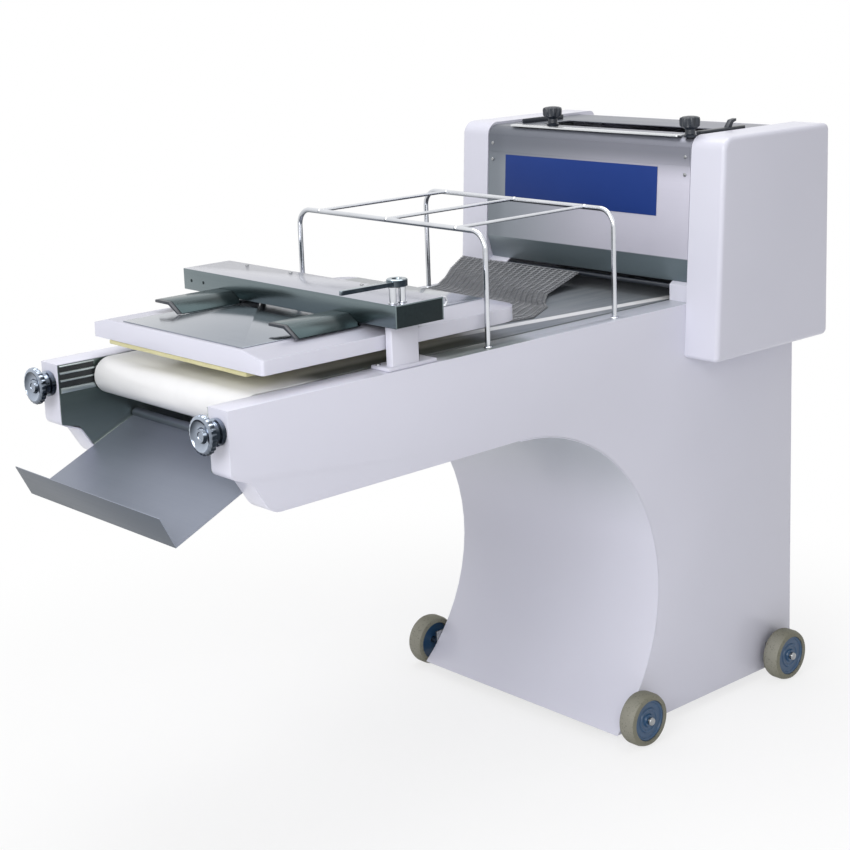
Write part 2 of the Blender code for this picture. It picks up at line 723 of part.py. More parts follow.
def pressure_board():
    left, right = BOARD_X
    low, high = BOARD_Z
    corners = [(left, -BOARD_HALF_Y), (right, -BOARD_HALF_Y), (right, BOARD_HALF_Y), (left, BOARD_HALF_Y)]
    outline = rounded(corners, [0.006, BOARD_REAR_R, BOARD_REAR_R, 0.006], 5)
    shrink_x = (BOARD_TOP_REAR_X - left) / (right - left)
    shrink_y = BOARD_TOP_HALF_Y / BOARD_HALF_Y
    crown = [(left + (x - left) * shrink_x, y * shrink_y) for x, y in outline]
    board = loft("pressure_board", [outline, outline, crown], [low, BOARD_EDGE_Z, high], "paint")
    half = (-BOARD_CAVITY_HALF_Y, BOARD_CAVITY_HALF_Y)
    cut(board, box("cavity", BOARD_CAVITY_X, half, (low - 0.01, BOARD_CAVITY_TOP_Z), "paint"))
    plate = box(
        "board_top_plate",
        (left + 0.006, BOARD_TOP_REAR_X - 0.006),
        TOP_PLATE_Y,
        (high + SEAT, high + SEAT + PLATE_T),
        "steel",
    )
    box(
        "board_lining",
        (left + 0.001, right - 0.030),
        (-LINING_HALF_Y, LINING_HALF_Y),
        (low - SEAT - LINING_T, low - SEAT),
        "ivory",
    )
    reach = POST_IN_Y - SEAT
    bar = box("lift_bar", (STUD_X - 0.016, STUD_X + 0.016), (-reach, reach), LIFT_BAR_Z, "cast")
    for y in STUD_Y:
        start = (STUD_X, y, low + 0.006)
        cut(board, rod("hole", start, 0.05, STUD_R + SEAT, "z", "paint", 16))
        start = (STUD_X, y, high - 0.01)
        cut(plate, rod("hole", start, 0.05, STUD_R + SEAT, "z", "steel", 16))
        start = (STUD_X, y, low + 0.0063)
        join(bar, rod("stud", start, LIFT_BAR_Z[0] + 0.005 - start[2], STUD_R, "z", "cast", 16))


def cross_channel():
    left, right = CHANNEL_X
    line = [(left, CHANNEL_LEG_Z), (left, CHANNEL_TOP_Z), (right, CHANNEL_TOP_Z), (right, CHANNEL_LEG_Z)]
    prism("cross_channel", strip(line, CHANNEL_T), -CHANNEL_HALF_Y, CHANNEL_HALF_Y, "y", "steel")
    for word, side in SIDES:
        foot_z = ARM_TOP_Z + SEAT
        top_z = CHANNEL_TOP_Z - CHANNEL_T - SEAT
        zs = (foot_z, foot_z + 0.006)
        bracket = box(f"channel_bracket_{word}", FOOT_X, span(side, *FOOT_Y), zs, "paint")
        ys = span(side, POST_IN_Y, POST_IN_Y + POST_W)
        join(bracket, box("post", POST_X, ys, (foot_z + 0.003, top_z), "paint"))


def height_lever():
    low = CHANNEL_TOP_Z + SEAT
    rod("lever_post", (LEVER_X, LEVER_Y, low), LEVER_POST_H, 0.012, "z", "chrome", 20)
    low += LEVER_POST_H + SEAT
    lever = rod("height_lever", (LEVER_X, LEVER_Y, low), LEVER_H, LEVER_HUB_R, "z", "chrome", 24)
    end = -LEVER_REACH + 0.004
    blade = [(0.0, -0.010), (end, -0.0035), (-LEVER_REACH, 0.0), (end, 0.0035), (0.0, 0.010)]
    blade = [(LEVER_X + x, LEVER_Y + y) for x, y in blade]
    join(lever, prism("blade", blade, low + 0.002, low + 0.009, "z", "chrome"))
    set_origin(lever, (LEVER_X, LEVER_Y, low))


def guide_plates():
    top = BOARD_Z[1] + SEAT + PLATE_T + SEAT
    line = [(0.040, top + 0.0185), (0.0, top + 0.0185), (-0.028, top + 0.0015)]
    for word, shift in (("far", 0.142), ("near", -0.172)):
        outline = [(y + shift, z) for y, z in strip(line[::-1], 0.0015)]
        prism(f"guide_plate_{word}", outline, GUIDE_FRONT_X, CHANNEL_X[0] - SEAT, "x", "steel")


def mesh_mat():
    lie = ARM_TOP_Z + SEAT
    stations = (
        (MAT_X[0], 0.0, -0.125, MAT_FAR_Y),
        (0.056, 0.0, -0.125, MAT_FAR_Y),
        (0.126, 0.0, -0.138, MAT_FAR_Y),
        (0.213, 0.0, -0.088, MAT_FAR_Y),
        (0.235, 0.001, -0.060, MAT_FAR_Y),
        (0.285, 0.005, -0.018, 0.270),
        (0.340, 0.014, -0.004, 0.310),
        (MAT_X[1], 0.028, 0.002, 0.332),
    )
    points = []
    for x, lift, near, far in stations:
        low = lie + lift
        points += [(x, near, low), (x, far, low), (x, far, low + MAT_T), (x, near, low + MAT_T)]
    faces = [(0, 1, 2, 3), tuple(4 * len(stations) - 1 - i for i in range(4))]
    for k in range(len(stations) - 1):
        for i in range(4):
            j = (i + 1) % 4
            faces.append((4 * k + i, 4 * k + j, 4 * k + 4 + j, 4 * k + 4 + i))
    add("curling_mat", points, faces, "cast")
    half = PANEL_IN_Y - SEAT
    rod("mat_rod", (MAT_ROD_X, -half, MAT_ROD_Z), 2 * half, MAT_ROD_R, "y", "black", 12)


def wheels():
    profile = [
        (0.0, STUB_R + RUN), (0.0, 0.044), (0.003, 0.0485), (0.008, WHEEL_R), (0.028, WHEEL_R),
        (0.033, 0.0485), (WHEEL_W, 0.044), (WHEEL_W, 0.038), (WHEEL_W - 0.003, 0.0365),
        (WHEEL_W - 0.001, 0.015), (WHEEL_W + 0.001, 0.013), (WHEEL_W + 0.001, STUB_R + RUN),
    ]
    for word, side in SIDES:
        for end, x in zip(("front", "rear"), WHEEL_X):
            ring = [(side * along, radius) for along, radius in profile]
            steps = 32
            points = []
            for along, radius in ring:
                reach = radius / math.cos(math.pi / steps)
                for i in range(steps):
                    angle = 2 * math.pi * (i + 0.5) / steps
                    points.append((reach * math.sin(angle), along, reach * math.cos(angle)))
            faces = []
            rings = len(ring)
            for k in range(rings):
                for i in range(steps):
                    j = (i + 1) % steps
                    a = k * steps
                    b = ((k + 1) % rings) * steps
                    faces.append((a + i, a + j, b + j, b + i))
            wheel = add(f"wheel_{word}_{end}", points, faces, "tyre", smooth=True)
            wheel.location = (x, side * WHEEL_IN_Y, WHEEL_R)
            low, high = span(side, PANEL_OUT_Y + SEAT, PANEL_OUT_Y + 0.0050)
            shift = 0.012 if end == "front" else -0.006
            xs = (x - 0.020 + shift, x + 0.024 + shift)
            plate = box(f"wheel_stub_{word}_{end}", xs, (low, high), STUB_PLATE_Z, "cast")
            low, high = span(side, PANEL_OUT_Y + 0.003, WHEEL_IN_Y + WHEEL_W + 0.005)
            join(plate, rod("pin", (x, low, WHEEL_R), high - low, STUB_R, "y", "cast", 32))


def build():
    clear_scene()
    side_panels()
    pedestal_sheets()
    motor()
    housings()
    head_covers()
    head_top()
    sheeting_rollers()
    conveyor()
    arm_liners()
    belt_tension()
    catch_tray()
    wire_guard()
    pressure_board()
    cross_channel()
    height_lever()
    guide_plates()
    mesh_mat()
    wheels()


build()
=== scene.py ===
import json
import math

import bmesh
import bpy
from mathutils import Euler, Matrix, Vector

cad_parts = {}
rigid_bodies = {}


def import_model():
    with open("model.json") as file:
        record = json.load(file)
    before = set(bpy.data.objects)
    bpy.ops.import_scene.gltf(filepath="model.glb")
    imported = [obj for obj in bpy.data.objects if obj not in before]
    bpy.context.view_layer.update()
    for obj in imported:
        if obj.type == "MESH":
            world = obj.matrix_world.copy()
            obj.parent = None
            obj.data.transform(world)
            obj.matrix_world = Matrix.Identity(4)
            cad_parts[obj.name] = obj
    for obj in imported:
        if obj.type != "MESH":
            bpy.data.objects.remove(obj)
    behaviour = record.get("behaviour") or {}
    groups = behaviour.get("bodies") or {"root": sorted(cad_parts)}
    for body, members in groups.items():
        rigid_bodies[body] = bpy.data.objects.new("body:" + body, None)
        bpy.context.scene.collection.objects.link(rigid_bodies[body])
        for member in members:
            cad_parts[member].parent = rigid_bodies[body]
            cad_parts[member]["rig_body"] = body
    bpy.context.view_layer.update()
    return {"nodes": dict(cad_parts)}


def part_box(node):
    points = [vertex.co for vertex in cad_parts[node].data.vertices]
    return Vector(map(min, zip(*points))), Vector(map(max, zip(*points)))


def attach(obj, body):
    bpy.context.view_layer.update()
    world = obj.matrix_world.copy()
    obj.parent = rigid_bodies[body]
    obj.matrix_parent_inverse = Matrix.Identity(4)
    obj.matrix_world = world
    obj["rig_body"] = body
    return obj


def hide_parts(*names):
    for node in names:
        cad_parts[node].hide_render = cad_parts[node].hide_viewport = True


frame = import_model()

# Camera: a long lens at standing height, in front of the catch tray and on the operator's near side.
# It looks along the conveyor towards the sheeting head.
def placed(name, data):
    obj = bpy.data.objects.new(name, data)
    bpy.context.scene.collection.objects.link(obj)
    return obj


camera_data = bpy.data.cameras.new("studio_camera")
camera_data.lens = 75.49
camera_data.sensor_width = 36.0
camera_data.shift_x = -0.0193
camera_data.shift_y = -0.0974
camera_data.clip_end = 80.0
camera = placed("studio_camera", camera_data)
camera.matrix_world = (
    Matrix.Translation((-2.0713, -2.3215, 1.4238))
    @ Matrix.Rotation(math.radians(-42.1171), 4, "Z")
    @ Matrix.Rotation(math.radians(77.8895), 4, "X")
    @ Matrix.Rotation(math.radians(-1.9578), 4, "Z")
)
bpy.context.scene.camera = camera
bpy.context.scene.view_settings.view_transform = "Standard"


# Studio: a pale floor that keeps the machine's shadow, a white surround and three large soft boxes.
# The floor is plain matt card near the machine and runs out to white.
class Wire:
    """A socket of a node tree, so that its sums are written as expressions."""

    def __init__(self, tree, socket=None):
        self.tree = tree
        self.socket = socket

    def node(self, kind, settings=(), values=(), output=0):
        made = self.tree.nodes.new(kind)
        for name, value in dict(settings).items():
            setattr(made, name, value)
        for name, value in dict(values).items():
            if isinstance(value, Wire):
                self.tree.links.new(value.socket, made.inputs[name])
            else:
                made.inputs[name].default_value = value
        return Wire(self.tree, made.outputs[output])

    def sum(self, operation, one, two):
        return self.node("ShaderNodeMath", {"operation": operation}, {0: one, 1: two})

    def __add__(self, other):
        return self.sum("ADD", self, other)

    def __mul__(self, other):
        return self.sum("MULTIPLY", self, other)

    def __sub__(self, other):
        return self.sum("SUBTRACT", self, other)

    def __rsub__(self, other):
        return self.sum("SUBTRACT", other, self)

    __radd__ = __add__
    __rmul__ = __mul__

    def clipped(self, low, high):
        """0 below low and 1 above high, with a smooth step between."""
        limits = {"Value": self, "From Min": low, "From Max": high}
        return self.node("ShaderNodeMapRange", {"clamp": True, "interpolation_type": "SMOOTHSTEP"}, limits)

    def object_place(self):
        return self.node("ShaderNodeTexCoord", output="Object")

    def stretched(self, scale):
        return self.node("ShaderNodeMapping", {}, {"Vector": self.object_place(), "Scale": scale})

    def noise(self, place, scale, detail=3.0, roughness=0.55):
        values = {"Vector": place, "Scale": scale, "Detail": detail, "Roughness": roughness}
        return self.node("ShaderNodeTexNoise", {}, values)

    def part_of_place(self, word):
        return self.node("ShaderNodeSeparateXYZ", {}, {0: self.object_place()}, word)

    def turned_to(self, direction):
        """1 where the surface faces a direction of the room, -1 where it faces away."""
        values = {0: self.node("ShaderNodeNewGeometry", output="Normal"), 1: direction}
        return self.node("ShaderNodeVectorMath", {"operation": "DOT_PRODUCT"}, values, "Value")

    def tint(self, share, one, two):
        """One colour turning into another as share goes from 0 to 1."""
        one = one if isinstance(one, Wire) else (*one, 1.0)
        two = two if isinstance(two, Wire) else (*two, 1.0)
        return self.node("ShaderNodeMix", {"data_type": "RGBA"}, {0: share, 6: one, 7: two}, 2)

    def bump(self, height, depth, strength):
        values = {"Height": height, "Distance": depth, "Strength": strength}
        return self.node("ShaderNodeBump", {}, values, "Normal")

    def ends(self, kind, word="Surface"):
        """Feeds this socket to the tree's output node."""
        end = self.tree.nodes.new(kind)
        self.tree.links.new(self.socket, end.inputs[word])


def emptied(owner):
    """The node tree of a material or of the surround, with nothing in it."""
    owner.use_nodes = True
    owner.node_tree.nodes.clear()
    return Wire(owner.node_tree)


def finish(name, draw):
    """A finish whose shader takes the values that draw returns for its sockets."""
    made = bpy.data.materials.new(name)
    wire = emptied(made)
    wire.node("ShaderNodeBsdfPrincipled", {}, draw(wire)).ends("ShaderNodeOutputMaterial")
    return made


def seen(wire):
    """1 where the camera, a reflection or a see-through surface looks, 0 for light that bounces."""
    rays = [wire.node("ShaderNodeLightPath", output=word) for word in (
        "Is Camera Ray", "Is Glossy Ray", "Is Transmission Ray")]
    return (rays[0] + rays[1] + rays[2]).clipped(0.0, 1.0)


FLOOR_HALF = 14.0
WHITE_NEAR = 0.72
WHITE_RING = (0.55, 1.5)
AMBIENT = 0.42
floor_mesh = bpy.data.meshes.new("studio_floor")
floor_corners = [(x * FLOOR_HALF, y * FLOOR_HALF, 0) for x, y in ((-1, -1), (1, -1), (1, 1), (-1, 1))]
floor_mesh.from_pydata(floor_corners, [], [(0, 1, 2, 3)])
floor = placed("studio_floor", floor_mesh)
card = bpy.data.materials.new("pale_floor_card")
wire = emptied(card)
grain = wire.noise(wire.object_place(), scale=3.0, detail=2.0)
shade = wire.tint(grain, (0.86, 0.86, 0.87), (0.90, 0.90, 0.905))
matt = wire.node("ShaderNodeBsdfDiffuse", {}, {"Color": shade})
white = wire.node("ShaderNodeEmission", {}, {"Color": (1, 1, 1, 1), "Strength": 1.0})
reach = wire.node("ShaderNodeVectorMath", {"operation": "LENGTH"}, {0: wire.object_place()}, "Value")
far_off = reach.clipped(*WHITE_RING) * (1.0 - WHITE_NEAR) + WHITE_NEAR
share = seen(wire) * far_off
mixed = wire.node("ShaderNodeMixShader", {}, {0: share, 1: matt, 2: white})
mixed.ends("ShaderNodeOutputMaterial")
floor_mesh.materials.append(card)

world = bpy.data.worlds.new("studio_surround")
wire = emptied(world)
level = seen(wire) * (1.0 - AMBIENT) + AMBIENT
sky = wire.node("ShaderNodeBackground", {}, {"Color": (1, 1, 1, 1), "Strength": level})
sky.ends("ShaderNodeOutputWorld")
bpy.context.scene.world = world


def soft_box(name, place, aim, size, watts):
    lamp = bpy.data.lights.new(name, "AREA")
    lamp.shape = "RECTANGLE"
    lamp.size, lamp.size_y = size
    lamp.energy = watts
    obj = placed(name, lamp)
    look = Vector(aim) - Vector(place)
    obj.matrix_world = Matrix.Translation(place) @ look.to_track_quat("-Z", "Y").to_matrix().to_4x4()


soft_box("front_box", (-3.4, -1.0, 2.6), (0.0, 0.0, 0.7), (2.2, 2.2), 82.0)
soft_box("side_box", (-2.2, -2.8, 1.9), (-0.4, 0.0, 0.7), (1.6, 1.6), 26.0)
soft_box("top_box", (0.2, 0.3, 3.6), (0.0, 0.0, 0.8), (2.6, 2.0), 48.0)


# Pedestal and arm: two folded side panels, a rolled front sheet and a flat rear panel.
# All are 2 to 3 mm sheet steel, powder coated in a cool white with a faint orange peel.
def white_powder(wire):
    place = wire.object_place()
    peel = wire.noise(place, scale=420.0, detail=2.0)
    cloud = wire.noise(place, scale=2.3, detail=3.0)
    dust = wire.noise(place, scale=14.0, detail=4.0)
    return {
        "Base Color": wire.tint(cloud, (0.610, 0.612, 0.705), (0.668, 0.668, 0.756)),
        "Roughness": dust * 0.10 + 0.29,
        "Coat Weight": 0.18,
        "Coat Roughness": 0.12,
        "Normal": wire.bump(peel, 0.00012, 0.5),
    }


SHADED_FLANGE_Z = (0.790, 0.796, 0.800, 0.805)
SHADED_FLANGE_X = (-0.24, -0.17)
UNDER_BOARD_X = (-0.03, 0.02)


def flange_shaded_powder(wire):
    """The same coat, with painted shade along the arm's top flange: grey, and dark green under the board."""
    made = white_powder(wire)
    x, z = [wire.part_of_place(word) for word in ("X", "Z")]
    top = wire.turned_to((0.0, 0.0, 1.0)).clipped(0.80, 0.98) * z.clipped(*SHADED_FLANGE_Z[:2])
    top = top * (1.0 - z.clipped(*SHADED_FLANGE_Z[2:]))
    painted_shade_share = top * x.clipped(*SHADED_FLANGE_X)
    under_board_shade = 1.0 - x.clipped(*UNDER_BOARD_X)
    # Painted shade: dark green under the board, where its underside would be reflected, and grey along the
    # rest of the flange.
    shade = wire.tint(under_board_shade, (0.36, 0.38, 0.43), (0.10, 0.13, 0.12))
    made["Base Color"] = wire.tint(painted_shade_share * 0.85, made["Base Color"], shade)
    return made


def front_powder_shaded_below(wire):
    """The same coat, with painted shade where the rolled sheet faces the floor."""
    made = white_powder(wire)
    # Painted shade on the faces turned to the floor.
    below = wire.turned_to((0.0, 0.0, -1.0)).clipped(0.20, 0.95)
    made["Base Color"] = wire.tint(below * 0.70, made["Base Color"], (0.30, 0.34, 0.35))
    return made


powder = finish("white_powder_coat", white_powder)
flange_shaded_coat = finish("arm_powder_painted_shade", flange_shaded_powder)
SMOOTH = math.radians(32.0)
FOLD_EDGE = 0.0018
CUT_EDGE = 0.0006
THIN_EDGE = 0.0004


def made_piece(name, body, look, mesh, stands_for=()):
    """Puts a finished mesh on a body, in place of the CAD nodes that it stands for."""
    mesh.name = name
    obj = placed(name, mesh)
    mesh.materials.clear()
    mesh.materials.append(look)
    mesh.shade_smooth()
    mesh.set_sharp_from_angle(angle=SMOOTH)
    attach(obj, body)
    if stands_for:
        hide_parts(*stands_for)
    return obj


def break_edges(bm, edge, steps):
    """Rounds a mesh's sharp edges by a small radius."""
    sharp = [e for e in bm.edges if len(e.link_faces) == 2 and e.calc_face_angle(0.0) > SMOOTH]
    bmesh.ops.bevel(
        bm, geom=sharp, offset=edge, offset_type="OFFSET", segments=steps, profile=0.5,
        affect="EDGES", clamp_overlap=True)


def eased(node, look, edge=0.0008, steps=2):
    """The node's own shape with its triangles merged and its sharp edges broken by a small radius."""
    cad = frame["nodes"][node]
    bm = bmesh.new()
    bm.from_mesh(cad.data)
    bmesh.ops.remove_doubles(bm, verts=bm.verts, dist=0.00002)
    bmesh.ops.dissolve_limit(bm, angle_limit=math.radians(0.6), verts=bm.verts, edges=bm.edges)
    break_edges(bm, edge, steps)
    mesh = bpy.data.meshes.new("shape")
    bm.to_mesh(mesh)
    bm.free()
    return made_piece(f"{node}_eased", cad["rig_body"], look, mesh, [node])


def dress(node, look):
    """Gives a node that is already the right shape its finish."""
    mesh = frame["nodes"][node].data
    mesh.materials.clear()
    mesh.materials.append(look)


for side in ("near", "far"):
    eased(f"side_panel_{side}", flange_shaded_coat, FOLD_EDGE, steps=3)
eased("pedestal_front_sheet", finish("front_sheet_painted_shade", front_powder_shaded_below), CUT_EDGE)
eased("pedestal_rear_panel", powder, CUT_EDGE)


# Gear housings: a deep-drawn pan of 2 mm sheet over the gears on each side of the head, with soft
# pressed edges and a return flange that lies on the side panel, powder coated like the pedestal.
def from_points(points, faces, outward=True):
    mesh = bpy.data.meshes.new("shape")
    mesh.from_pydata([tuple(p) for p in points], [], faces)
    bm = bmesh.new()
    bm.from_mesh(mesh)
    bmesh.ops.remove_doubles(bm, verts=bm.verts, dist=1e-6)
    if outward:
        bmesh.ops.recalc_face_normals(bm, faces=bm.faces)
    bm.to_mesh(mesh)
    bm.free()
    return mesh


def filleted(corners, radii, steps=6):
    """A closed outline with each corner turned into an arc of its radius."""
    out = []
    count = len(corners)
    for i, corner in enumerate(corners):
        here = Vector(corner)
        before = (Vector(corners[i - 1]) - here).normalized()
        after = (Vector(corners[(i + 1) % count]) - here).normalized()
        half = before.angle(after) / 2
        centre = here + (before + after).normalized() * (radii[i] / math.sin(half))
        first = here + before * (radii[i] / math.tan(half)) - centre
        turn = first.angle_signed(here + after * (radii[i] / math.tan(half)) - centre)
        for step in range(steps + 1):
            angle = -turn * step / steps
            cos, sin = math.cos(angle), math.sin(angle)
            out.append(centre + Vector((first.x * cos - first.y * sin, first.x * sin + first.y * cos)))
    return out


def inset_corners(corners, distance):
    """The corners of an anticlockwise outline, moved in by a distance."""
    out = []
    count = len(corners)
    for i in range(count):
        here = Vector(corners[i])
        one = (here - Vector(corners[i - 1])).normalized()
        two = (Vector(corners[(i + 1) % count]) - here).normalized()
        normal_one = Vector((-one.y, one.x))
        normal_two = Vector((-two.y, two.x))
        middle = (normal_one + normal_two).normalized()
        out.append(here + middle * (distance / middle.dot(normal_one)))
    return out


def skinned(rings, cap_last=True, cap_first=False):
    """Faces between rings of equal length, with the ends capped as asked."""
    count = len(rings[0])
    points = [p for ring in rings for p in ring]
    faces = []
    for k in range(len(rings) - 1):
        for i in range(count):
            j = (i + 1) % count
            faces.append((k * count + i, k * count + j, (k + 1) * count + j, (k + 1) * count + i))
    if cap_first:
        faces.append(tuple(range(count)))
    if cap_last:
        faces.append(tuple(range(len(points) - 1, len(points) - count - 1, -1)))
    return points, faces


RAKE = 0.0599
HOUSING_CORNER_RADII = (0.008, 0.012, 0.012, 0.026)
HOUSING_EDGE_R = 0.009
HOUSING_FLANGE = 0.046
HOUSING_WALL = 0.002
ARC_STEPS = 6
for side, sign in (("near", -1.0), ("far", 1.0)):
    low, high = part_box(f"gear_housing_{side}")
    rise = high.z - low.z
    corners = [(low.x, low.z), (high.x, low.z), (high.x, high.z), (low.x + RAKE * rise, high.z)]
    inner_y = min(abs(low.y), abs(high.y))
    outer_y = max(abs(low.y), abs(high.y))
    rings = []
    stations = [(HOUSING_FLANGE, inner_y), (0.0, inner_y), (0.0, outer_y - HOUSING_EDGE_R)]
    for step in range(1, ARC_STEPS + 1):
        angle = math.radians(90.0 * step / ARC_STEPS)
        stations.append((
            HOUSING_EDGE_R * (1 - math.cos(angle)), outer_y - HOUSING_EDGE_R * (1 - math.sin(angle))))
    for shrink, y in stations:
        radii = [max(0.0006, radius - shrink) for radius in HOUSING_CORNER_RADII]
        outline = filleted(inset_corners(corners, shrink), radii)
        rings.append([(p.x, sign * y, p.y) for p in outline])
    pan = placed("pan", from_points(*skinned(rings)))
    wall = pan.modifiers.new("wall", "SOLIDIFY")
    wall.thickness = HOUSING_WALL
    wall.offset = -1.0
    solid = bpy.data.meshes.new_from_object(pan.evaluated_get(bpy.context.evaluated_depsgraph_get()))
    bpy.data.objects.remove(pan)
    made_piece(f"gear_housing_{side}_pan", "machine_frame", powder, solid,
               [f"gear_housing_{side}"])


# Head covers: brushed stainless sheet, bent over the rollers from the lower flap to the feed slot.
# A separate upper strip is held by pairs of screws, and the rear cover closes the back.
def brushed(wire, dark, pale, along, rough):
    lines = wire.noise(wire.stretched(along), 1.0, 4.0, 0.65)
    smear = wire.noise(wire.object_place(), scale=5.0, detail=3.0)
    return {
        "Base Color": wire.tint(smear * 0.6 + lines * 0.4, dark, pale),
        "Metallic": 1.0,
        "Roughness": lines * 0.12 + rough,
        "Normal": wire.bump(lines, 0.00004, 0.6),
    }


BEND_Z = (0.8760, 0.8785)
TOP_SHADE_Z = (1.012, 1.070)


def brushed_finish(name, *look):
    return finish(name, lambda wire: brushed(wire, *look))


def head_steel_painted_shade(wire):
    """Brushed sheet with painted shade: darker at its far end, at its top bend and below its lower bend."""
    made = brushed(wire, (0.53, 0.52, 0.61), (0.61, 0.60, 0.69), (4.0, 3.0, 900.0), 0.30)
    height = wire.part_of_place("Z")
    across = wire.part_of_place("Y")
    far_shade = across.clipped(-0.16, 0.30)
    # Painted shade: the far end, the top band and the far edge are darkened, and the flap below the lower
    # bend is dark, paler towards the far side.
    body = wire.tint(far_shade, made["Base Color"], (0.22, 0.25, 0.28))
    body = wire.tint(height.clipped(*TOP_SHADE_Z) * 0.82, body, (0.14, 0.15, 0.18))
    body = wire.tint(across.clipped(0.205, 0.240) * 0.20, body, (0.07, 0.08, 0.10))
    flap = wire.tint(across.clipped(0.08, 0.22), (0.150, 0.190, 0.212), (0.24, 0.28, 0.31))
    made["Base Color"] = wire.tint(height.clipped(*BEND_Z), flap, body)
    made["Metallic"] = 0.45
    made["Specular IOR Level"] = 0.25
    return made


shaded_head_sheet = finish("brushed_head_sheet_painted_shade", head_steel_painted_shade)
bright_sheet = brushed_finish(
    "bright_steel_strip", (0.62, 0.64, 0.66), (0.76, 0.78, 0.80), (4.0, 3.0, 700.0), 0.18)
screw_steel = brushed_finish(
    "screw_steel", (0.22, 0.23, 0.24), (0.42, 0.43, 0.44), (300.0, 300.0, 300.0), 0.22)
eased("head_front_cover", shaded_head_sheet, edge=0.0005)
rear_sheet = brushed_finish(
    "rear_cover_sheet", (0.46, 0.46, 0.52), (0.58, 0.58, 0.65), (4.0, 3.0, 900.0), 0.28)
eased("head_rear_cover", rear_sheet, edge=0.0005)


def prism(outline, low, high, axis):
    """A closed outline in the plane across an axis, pulled from low to high along it."""
    place = {
        "x": lambda a, b, c: (c, a, b),
        "y": lambda a, b, c: (a, c, b),
        "z": lambda a, b, c: (a, b, c),
    }[axis]
    rings = [[place(a, b, c) for a, b in outline] for c in (low, high)]
    return from_points(*skinned(rings, True, True))


def softened(mesh, edge):
    """The mesh itself, with its sharp edges rounded."""
    bm = bmesh.new()
    bm.from_mesh(mesh)
    break_edges(bm, edge, 2)
    bm.to_mesh(mesh)
    bm.free()
    return mesh


def front_x(height):
    """The outer face of the leaning head cover at a height."""
    low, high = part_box("gear_housing_near")
    return low.x + RAKE * (height - low.z) + 0.001


cover_low, cover_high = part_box("head_front_cover")
STRIP_Z = (1.046, 1.080)
STRIP_T = 0.0008
STRIP_GAP = 0.0002
strip_side = [(front_x(z) - STRIP_GAP, z) for z in STRIP_Z]
strip_side += [(front_x(z) - STRIP_GAP - STRIP_T, z) for z in reversed(STRIP_Z)]
strip = prism(strip_side, cover_low.y + 0.002, cover_high.y - 0.002, "y")
made_piece("head_upper_strip", "machine_frame", shaded_head_sheet, strip)


def started_tree(name, inputs):
    """An empty Geometry Nodes tree with one geometry output, and its named inputs as wires."""
    tree = bpy.data.node_groups.new(name, "GeometryNodeTree")
    tree.interface.new_socket("Geometry", in_out="OUTPUT", socket_type="NodeSocketGeometry")
    for word, kind in inputs:
        tree.interface.new_socket(word, in_out="INPUT", socket_type=f"NodeSocket{kind}")
    given = tree.nodes.new("NodeGroupInput")
    return Wire(tree), {word: Wire(tree, given.outputs[word]) for word, kind in inputs}


def ended_tree(made, look):
    """Realizes what the tree made, gives it the finish and closes the tree."""
    real = made.node("GeometryNodeRealizeInstances", {}, {"Geometry": made})
    painted = made.node("GeometryNodeSetMaterial", {}, {"Geometry": real, "Material": look})
    painted.ends("NodeGroupOutput", "Geometry")
    return made.tree


def screw_tree():
    """Geometry Nodes: a domed screw head on every vertex it is given."""
    wire, given = started_tree("screw_heads", [
        ("Places", "Geometry"), ("Head Radius", "Float"), ("Head Height", "Float"),
        ("Facing", "Rotation"), ("Finish", "Material")])
    radius = given["Head Radius"]
    dome = wire.node("GeometryNodeMeshUVSphere", {}, {"Segments": 12, "Rings": 6, "Radius": radius})
    ratio = wire.sum("DIVIDE", given["Head Height"], radius)
    flat = wire.node("ShaderNodeCombineXYZ", {}, {"X": 1.0, "Y": 1.0, "Z": ratio})
    head = wire.node("GeometryNodeTransform", {}, {"Geometry": dome, "Scale": flat})
    on = wire.node("GeometryNodeInstanceOnPoints", {}, {
        "Points": given["Places"], "Instance": head, "Rotation": given["Facing"]})
    return ended_tree(on, given["Finish"])


def grown(points, edges, tree, sizes):
    """A plain mesh made by a Geometry Nodes tree from points and edges."""
    seed = bpy.data.meshes.new("seed")
    seed.from_pydata([tuple(p) for p in points], edges, [])
    obj = placed("seed", seed)
    modifier = obj.modifiers.new("grow", "NODES")
    modifier.node_group = tree
    for item in tree.interface.items_tree:
        if item.in_out == "INPUT" and item.name in sizes:
            modifier[item.identifier] = sizes[item.name]
    graph = bpy.context.evaluated_depsgraph_get()
    graph.update()
    mesh = bpy.data.meshes.new_from_object(obj.evaluated_get(graph))
    bpy.data.objects.remove(obj)
    return mesh


screw_heads = screw_tree()


def screws(name, body, places, facing, radius, height, look=screw_steel):
    sizes = {"Head Radius": radius, "Head Height": height, "Facing": Euler(facing), "Finish": look}
    mesh = grown(places, [], screw_heads, sizes)
    return made_piece(name, body, look, mesh)


places = []
for y in (cover_low.y + 0.012, cover_high.y - 0.012):
    places += [(front_x(z) - STRIP_GAP - STRIP_T - 0.0002, y, z) for z in (1.062, 1.030)]
screws("head_cover_screws", "machine_frame", places, (0, -math.pi / 2, 0), 0.0036, 0.0016)


def blue_lacquer(wire):
    cloud = wire.noise(wire.object_place(), scale=9.0, detail=2.0)
    grain = wire.noise(wire.object_place(), scale=40.0, detail=2.0)
    return {
        "Base Color": wire.tint(cloud, (0.012, 0.036, 0.180), (0.017, 0.046, 0.215)),
        "Roughness": grain * 0.08 + 0.42,
        "Specular IOR Level": 0.12,
    }


eased("front_plate", finish("blue_lacquer_plate", blue_lacquer), edge=0.0003)


